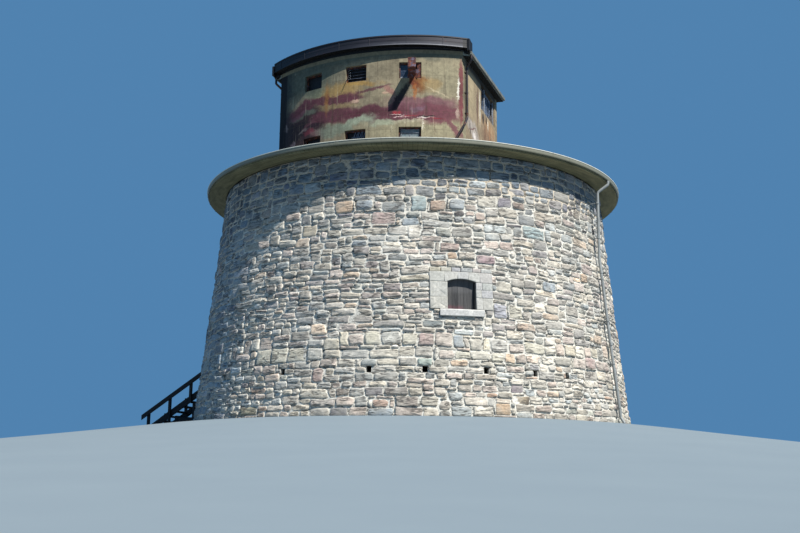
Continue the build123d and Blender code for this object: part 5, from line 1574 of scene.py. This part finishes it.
# =========================================================== trim of the post
B = Build()
e = 35.0
arc_sweep(B, [(5.985, 12.268), (6.026, 12.268), (6.026, 12.228), (6.010, 12.222), (6.004, 12.24), (5.985, 12.24)],
          -17.7 - e, -17.7 + e, 60)
arc_sweep(B, [(6.004, 11.978), (6.018, 11.972), (6.020, 11.938), (6.004, 11.938)], -17.7 - e, -17.7 + e, 60)
arc_sweep(B, [(6.004, 12.104), (6.014, 12.101), (6.014, 12.092), (6.004, 12.086)], -17.7 - e, -17.7 + e, 60)
for p_, wd_ in ((-31.0, 0.030), (-19.5, 0.034), (-6.2, 0.028), (3.9, 0.034), (15.6, 0.028), (26.8, 0.032)):
    a = math.radians(p_ - 17.7)
    slab(B, cyl(p_ - 17.7, 6.013, 12.105), (math.cos(a), math.sin(a), 0), (math.sin(a), -math.cos(a), 0), (0, 0, 1),
         wd_, 0.010, 0.32, bev=0.003)
slab(B, on_post(3.445, -4.90, 12.055), NV, UV, (0, 0, 1), 0.09, 0.13, 0.40, bev=0.006)
slab(B, on_post(3.37, -4.74, 11.88), NV, UV, (0, 0, 1), 0.20, 0.16, 0.11, bev=0.006)
slab(B, on_post(-3.495, -4.86, 12.02), NV, UV, (0, 0, 1), 0.08, 0.16, 0.34, bev=0.006)
slab(B, on_post(-3.40, -4.72, 11.87), NV, UV, (0, 0, 1), 0.22, 0.18, 0.12, bev=0.006)
B.make("kerb_trim", KERB, slot="dark_trim", sharp=35)

B = Build()
for k in range(7):                       # laps of the covering
    n_ = -2.85 + 0.95 * k
    u0 = -math.sqrt(5.68 ** 2 - n_ * n_)
    uc, ln = (u0 + 0.2) / 2, 0.2 - u0
    slope = math.atan(0.055)
    zc = 11.880 + 0.055 * (uc + 4.93) + 0.004
    ey = UV * math.cos(slope) + np.array([0, 0, math.sin(slope)])
    slab(B, on_post(n_, uc, zc), NV, ey, np.cross(NV, ey), 0.10, ln / math.cos(slope), 0.010, bev=0.003)
B.make("roof_laps", SLAB, slot="painted_concrete", sharp=35)


def ring_on(B, c, axis, rad, width, thick=0.006, sides=16):
    """A flat collar round a pipe."""
    c, axis = np.asarray(c, float), np.asarray(axis, float) / np.linalg.norm(axis)
    t = np.cross(axis, (0.2, 0.1, 0.97) if abs(axis[2]) < 0.9 else (1.0, 0, 0))
    t /= np.linalg.norm(t)
    s_ = np.cross(axis, t)
    V, F = [], []
    prof_ = [(rad - 0.002, -width / 2), (rad + thick, -width / 2), (rad + thick, width / 2), (rad - 0.002, width / 2)]
    for i in range(sides):
        a = 2 * math.pi * i / sides
        for rr, zz in prof_:
            V.append(c + (t * math.cos(a) + s_ * math.sin(a)) * rr + axis * zz)
    for i in range(sides):
        i2 = (i + 1) % sides
        for j in range(4):
            j2 = (j + 1) % 4
            F.append((4 * i + j, 4 * i2 + j, 4 * i2 + j2, 4 * i + j2))
    B.add(V, F)


B = Build()
for z in (7.35, 6.15, 4.75, 3.35, 1.95, 0.55):
    rc = 7.165 if z > 5.5 else 7.697 + (7.165 - 7.697) * (z - 0.25) / 5.25
    az = 59.5
    c = cyl(az, rc, z)
    ring_on(B, c, (0, 0, 1.0), 0.048, 0.045, 0.007)
    a = math.radians(az)
    back = R_of(z) - 0.03
    slab(B, cyl(az, (rc - 0.05 + back) / 2, z), (math.cos(a), math.sin(a), 0), (math.sin(a), -math.cos(a), 0), (0, 0, 1),
         0.04, max(rc - 0.05 - back, 0.02), 0.03, bev=0.003)
    for sd in (-1, 1):
        cc = c + np.array([math.cos(a), math.sin(a), 0]) * sd * 0.066
        slab(B, cc, (math.cos(a), math.sin(a), 0), (math.sin(a), -math.cos(a), 0), (0, 0, 1), 0.035, 0.012, 0.036, bev=0.002)
        disc_head(B, cc + np.array([math.sin(a), -math.cos(a), 0]) * 0.007, (math.sin(a), -math.cos(a), 0), 0.008, 0.007, 6)
for z in (5.0, 2.6):                      # sockets of the pipe lengths
    rc = 7.697 + (7.165 - 7.697) * (z - 0.25) / 5.25
    ring_on(B, cyl(59.5, rc, z), (-0.086, 0.05, 1.0), 0.048, 0.11, 0.009)
B.make("drum_pipe_brackets", PIPE, slot="gutter_paint", sharp=35)

B = Build()
for sg in (-1, 1):
    for z in (11.25, 10.55, 9.85) + ((9.2,) if sg < 0 else ()):
        u_ = -4.56 if sg > 0 else -4.60
        c = on_post(sg * 3.29, u_, z)
        ring_on(B, c, (0, 0, 1.0), 0.038, 0.04, 0.006)
        slab(B, on_post(sg * 3.245, u_, z), NV, UV, (0, 0, 1), 0.06, 0.035, 0.028, bev=0.002)
        slab(B, on_post(sg * 3.226, u_ + 0.0, z), NV, UV, (0, 0, 1), 0.012, 0.13, 0.036, bev=0.002)
        for du in (-0.05, 0.05):
            disc_head(B, on_post(sg * 3.233, u_ + du, z), NV * sg, 0.007, 0.006, 6)
B.make("post_pipe_brackets", DARK, slot="dark_trim", sharp=35)


# ======================================================= openings of the post
def face(phi, r, z):
    """Point, right, outward on the front wall at a local azimuth."""
    a = math.radians(phi - 17.7)
    return cyl(phi - 17.7, r, z), np.array([math.cos(a), math.sin(a), 0]), np.array([math.sin(a), -math.cos(a), 0])


def flat_mat(name, col, col2, rough=0.6, scale=14):
    M = Mat(name, rough=rough, spec=0.4)
    m = M.noise(scale, 5, 0.7)
    c = M.mix(M.rng(m, 0.38, 0.64), srgb(*col), srgb(*col2))
    M.colour(M.bright(c, M.noise(70, 3), 0.85, 1.12))
    M.normal(M.bump(m, 0.4, 0.003))
    return M.m


BLACKP = flat_mat("blackened_plate", (14, 12, 15), (30, 25, 28))
SLATM = flat_mat("grey_blue_slats", (58, 68, 90), (104, 112, 124))
PALE = flat_mat("pale_bent_strips", (132, 138, 146), (88, 88, 92))
PANEL = flat_mat("grey_panel", (104, 122, 126), (142, 150, 148))
BARSM = flat_mat("pale_window_bars", (126, 142, 166), (84, 92, 108))
paint(["post_window_plates"], BLACKP)
rs = np.random.RandomState(77)
B = Build()
# middle upper window: five slats, some of them bent out at the left
P_, ex, ey = face(-1.0, 5.655, 11.145)
for k in range(5):
    z = 10.935 + 0.105 * k
    tilt = 0.5 + rs.uniform(-0.06, 0.06)
    dn = np.array([0, 0, -1.0]) * math.sin(tilt) + ey * math.cos(tilt)
    slab(B, P_ + (0, 0, z - 11.145), ex + np.array([0, 0, rs.uniform(-0.02, 0.02)]), dn, np.cross(ex, dn), 0.66, 0.085, 0.006, bev=0.002, mat=0)
# lower middle window: a gap at the left, then broken slats leaning over
P_, ex, ey = face(-1.0, 5.665, 8.955)
for k in range(7):
    xx = -0.10 + 0.068 * k
    lean = 0.35 + rs.uniform(-0.10, 0.12)
    up = np.array([0, 0, math.cos(lean)]) + ex * math.sin(lean)
    slab(B, P_ + ex * xx + (0, 0, 0.02), np.cross(ey, up), ey, up, 0.034, 0.008, 0.50 + rs.uniform(-0.05, 0.03), bev=0.002, mat=0)
for z in (8.80, 9.02):
    slab(B, P_ + ex * 0.08 + ey * -0.012 + (0, 0, z - 8.955), ex, ey, (0, 0, 1), 0.5, 0.01, 0.03, bev=0.002, mat=0)
B.make("post_window_slats", SLATM, slot="rusted_steel", sharp=35)

B = Build()
P_, ex, ey = face(-1.0, 5.66, 11.145)
for k in range(5):                        # torn mesh and strips at the left jamb
    z = 11.30 - 0.075 * k
    a0 = P_ + ex * -0.335 + (0, 0, z - 11.145)
    tube(B, [a0, a0 + ex * 0.05 + ey * 0.05, a0 + ex * 0.13 + ey * (0.10 + 0.02 * rs.rand()) + (0, 0, rs.uniform(-0.03, 0.03))],
         0.008, 6)
q = P_ + ex * -0.30 + (0, 0, 0.02)
tube(B, [q, q + ey * 0.12 + (0, 0, -0.12), q + ex * -0.02 + ey * 0.19 + (0, 0, -0.27), q + ex * -0.05 + ey * 0.20 + (0, 0, -0.36)], 0.011, 8, mat=1)
# third upper window: pale sill strip; second lower: whitish bars over the panel
P_, ex, ey = face(16.75, 5.68, 11.145)
slab(B, P_ + ex * -0.10 + (0, 0, -0.215), ex, ey, (0, 0, 1), 0.44, 0.05, 0.05, bev=0.006)
P_, ex, ey = face(16.75, 5.69, 8.955)
for z, ln in ((9.175, 0.60), (9.06, 0.56), (8.90, 0.58)):
    slab(B, P_ + (0, 0, z - 8.955), ex, ey, (0, 0, 1), ln, 0.016, 0.022, bev=0.003)
for x in (-0.27, 0.0, 0.27):
    slab(B, P_ + ex * x + ey * -0.010 + (0, 0, 0.02), ex, ey, (0, 0, 1), 0.02, 0.012, 0.46, bev=0.003)
B.make("post_window_bars", [PALE, BLACKP], slot="rusted_steel", sharp=35)

B = Build()
P_, ex, ey = face(16.75, 5.665, 8.955)
slab(B, P_ + (0, 0, -0.01), ex, ey, (0, 0, 1), 0.60, 0.02, 0.46, bev=0.004, wob=0.003, seed=4)
B.make("post_lower_right_panel", PANEL, slot="rusted_steel", sharp=35)

B = Build()
P_, ex, ey = face(16.75, 5.66, 11.145)
slab(B, P_ + ex * -0.12, ex, ey, (0, 0, 1), 0.42, 0.012, 0.46, bev=0.003)
B.make("post_upper_right_pane", GLASS, slot="window_glass", sharp=35)

# rusted flaps beside the beam, and rivets round the frames
B = Build()
P_, ex, ey = face(16.75, 5.74, 11.145)
slab(B, P_ + ex * 0.275 + (0, 0, 0.0), ex + ey * 0.25, ey, (0, 0, 1), 0.11, 0.02, 0.56, bev=0.004, wob=0.006, seed=5)
slab(B, P_ + ex * 0.21 + ey * 0.06 + (0, 0, -0.12), ex * 0.9 + ey * 0.4, ey, (0.1, 0.0, 1), 0.10, 0.012, 0.30, bev=0.003, wob=0.008, seed=6)
for phi in (-17.2, -1.0, 16.75):
    for zc in (11.145, 8.955):
        P_, ex, ey = face(phi, 5.676, zc)
        for sx in (-1, 1):
            for sz in (-0.18, 0.0, 0.18):
                disc_head(B, P_ + ex * sx * 0.337 + (0, 0, sz), ey, 0.010, 0.008, 6)
        for sz in (-1, 1):
            for sx in (-0.22, 0.0, 0.22):
                disc_head(B, P_ + ex * sx + (0, 0, sz * 0.252), ey, 0.010, 0.008, 6)
# bolts on the beam's end plate and along its flanges
a = math.radians(-0.4)
bd = np.array([math.sin(a), -math.cos(a), 0.0])
bt = np.array([math.cos(a), math.sin(a), 0.0])
for x in (-0.085, 0.085):
    for z in (11.05, 11.14, 11.23):
        disc_head(B, bd * 6.468 + bt * x + np.array([0, 0, z]), bd, 0.013, 0.002, 6)
for r in (5.95, 6.1, 6.25, 6.4):
    for x in (-0.08, 0.08):
        disc_head(B, bd * r + bt * x + np.array([0, 0, 10.984]), (0, 0, -1.0), 0.012, 0.010, 6)
B.make("rusted_flaps_and_bolts", BEAM, slot="rusted_steel", sharp=35)

# side and back windows: bars, sills, heads
B = Build()
for sg in (-1, 1):
    for k in range(9):
        u_ = -2.19 + 0.224 * k
        ln = 0.86 + rs.uniform(-0.05, 0.02)
        slab(B, on_post(sg * 3.115, u_, 11.315 + rs.uniform(-0.01, 0.01)), UV, NV, (0, 0, 1), 0.045, 0.014, ln, bev=0.003)
    slab(B, on_post(sg * 3.10, -1.295, 11.74), UV, NV, (0, 0, 1), 2.05, 0.03, 0.05, bev=0.004)
    slab(B, on_post(sg * 3.10, -1.295, 10.885), UV, NV, (0, 0, 1), 2.05, 0.03, 0.05, bev=0.004)
    # the mullion and the last light's frame, painted paler
    slab(B, on_post(sg * 3.17, -1.72, 11.315), UV, NV, (0, 0, 1), 0.09, 0.05, 0.90, bev=0.006, mat=1)
    slab(B, on_post(sg * 3.17, -0.42, 11.315), UV, NV, (0, 0, 1), 0.10, 0.05, 0.90, bev=0.006, mat=1)
    # loose boards standing in the lower back corner of the opening
    for u_, zt, tl in ((-0.62, 11.20, 0.05), (-0.80, 11.12, -0.06), (-1.02, 11.02, 0.10)):
        slab(B, on_post(sg * 3.19, u_, (10.86 + zt) / 2), UV, NV, np.array([0, 0, 1.0]) + UV * tl, 0.15, 0.02, zt - 10.86, bev=0.003, mat=2)
for nn in (-1.75, 0, 1.75):
    for x in (-0.18, 0.0, 0.18):
        slab(B, on_post(nn + x, -0.03, 11.145), NV, UV, (0, 0, 1), 0.035, 0.014, 0.50, bev=0.003)
    slab(B, on_post(nn, -0.03, 11.145), NV, UV, (0, 0, 1), 0.68, 0.018, 0.035, bev=0.003)
B.make("post_side_and_back_bars", [BARSM, PALE, flat_mat("loose_grey_boards", (108, 98, 88), (62, 52, 48))], slot="rusted_steel", sharp=35)


# ============================================================ window boarding
B = Build()
a = math.radians(WIN_AZ)
wd, wt = np.array([math.sin(a), -math.cos(a), 0.0]), np.array([math.cos(a), math.sin(a), 0.0])
BOARD_R = 7.052
rs = np.random.RandomState(12)
for k in range(5):
    x = -0.344 + 0.172 * k
    dep = rs.uniform(-0.004, 0.0)
    slab(B, wd * (BOARD_R - 0.022 + dep) + wt * x + np.array([0, 0, 3.60]), wt, wd, (0, 0, 1), 0.168, 0.044, 0.918, bev=0.005,
         wob=0.0015, seed=30 + k)
    for z in (3.30, 3.84):
        for dx in (-0.045, 0.045):
            disc_head(B, wd * (BOARD_R + dep) + wt * (x + dx) + np.array([0, 0, z]), wd, 0.007, 0.003, 6)


def mat_window_boards():
    M = Mat("window_board_paint", rough=0.85, spec=0.2)
    x, y, z = M.sep()
    t = M.vmath('DOT_PRODUCT', M.co, tuple(wt), out=1)
    gr = M.noise(1.0, 5, 0.65, vec=M.map(M.comb(t, z, 0.0), scale=(34, 1.6, 1)), dist=0.6)
    mid = M.noise(10, 5, 0.7)
    c = M.ramp(gr, [(0.3, srgb(62, 61, 62)), (0.5, srgb(76, 75, 75)), (0.72, srgb(90, 89, 88))])
    c = M.mix(M.rng(z, 3.60, 3.75, 0.0, 0.35), c, srgb(104, 103, 104))
    # painted shade: a near-black strip along the boards' right edge, inside the reveal
    c = M.mix(M.rng(t, 0.385, 0.405), c, srgb(14, 13, 14))
    red = M.rng(M.math('ADD', z, M.math('MULTIPLY', M.math('SUBTRACT', mid, 0.5), 0.25)), 3.32, 3.20, 0.0, 0.75)
    red = M.math('MULTIPLY', red, M.rng(t, 0.18, -0.05))
    c = M.mix(red, c, srgb(100, 70, 76))
    c = M.bright(c, mid, 0.88, 1.08)
    M.colour(c)
    M.normal(M.bump(gr, 0.5, 0.004))
    return M.m


B.make("window_board_planks", mat_window_boards(), slot="boards", replaces=["window_boards"], sharp=35)

# ======================================================================= door
DOORM = mat_timber("door_planks_paint", srgb(52, 44, 38), srgb(78, 66, 56), srgb(104, 90, 76), (30, 30, 2.2))
FRAMEM = mat_timber("door_frame_paint", srgb(60, 52, 44), srgb(90, 78, 66), srgb(118, 104, 88), (26, 26, 2.4))
paint(["door_frame"], FRAMEM)
a = math.radians(GATE_AZ)
gd, gt = np.array([math.sin(a), -math.cos(a), 0.0]), np.array([math.cos(a), math.sin(a), 0.0])
B = Build()
for k in range(6):
    x = -0.3833 + 0.15333 * k
    slab(B, gd * 6.949 + gt * x + np.array([0, 0, 2.756]), gt, gd, (0, 0, 1), 0.150, 0.046, 1.905, bev=0.006, wob=0.001, seed=50 + k)
for z in (2.04, 2.76, 3.48):
    slab(B, gd * 6.919 + np.array([0, 0, z]), gt, gd, (0, 0, 1), 0.88, 0.014, 0.16, bev=0.004)
B.make("door_planks", DOORM, slot="boards", replaces=["door_leaf"], sharp=35)
B = Build()
for z in (2.16, 3.36):
    slab(B, gd * 6.975 + gt * -0.13 + np.array([0, 0, z]), gt, gd, (0, 0, 1), 0.62, 0.008, 0.055, bev=0.002)
    for x in (-0.40, -0.28, -0.16, -0.04, 0.08, 0.155):
        disc_head(B, gd * 6.979 + gt * x + np.array([0, 0, z]), gd, 0.009, 0.006, 8)
ring = [gd * 6.993 + gt * (0.355 + 0.045 * math.cos(t)) + np.array([0, 0, 2.73 + 0.045 * math.sin(t)])
        for t in np.linspace(0, 2 * math.pi, 20)]
tube(B, ring, 0.007, 8, caps=False)
slab(B, gd * 6.974 + gt * 0.355 + np.array([0, 0, 2.78]), gt, gd, (0, 0, 1), 0.07, 0.006, 0.10, bev=0.002)
B.make("door_ironwork", IRON, slot="dark_trim", sharp=35)

# ====================================================================== stair
B = Build()
for i in range(9):
    zt = 1.62 - 0.18 * i
    rn = 7.49 + 1.5 * (1.80 - zt)
    rc = rn - 0.145
    for sd in (-1, 1):
        for dr in (-0.085, 0.085):
            if abs(rc + dr) > 7.5:
                disc_head(B, gd * (rc + dr) + gt * sd * 0.600 + np.array([0, 0, max(zt - 0.028, 0.05)]), gt * sd, 0.012, 0.008, 6)
for r in (10.06, 9.205, 8.37, 7.67):
    zs = 1.80 - 0.6667 * (r - 7.49) + 0.085
    for sd in (-1, 1):
        for dz in (-0.05, -0.15):
            disc_head(B, gd * r + gt * sd * 0.600 + np.array([0, 0, max(zs + dz, 0.05)]), gt * sd, 0.014, 0.010, 6)
B.make("stair_bolts", IRON, slot="dark_trim", sharp=35)
B = Build()
for i in range(9):
    zt = 1.62 - 0.18 * i
    rn = 7.49 + 1.5 * (1.80 - zt)
    slab(B, gd * (rn - 0.035) + np.array([0, 0, zt + 0.001]), gt, gd, (0, 0, 1), 1.02, 0.045, 0.006, bev=0.002)
B.make("stair_nosings", flat_mat("tread_grip_strips", (58, 56, 52), (84, 80, 74), rough=0.9, scale=60), slot="stair_timber", sharp=35)
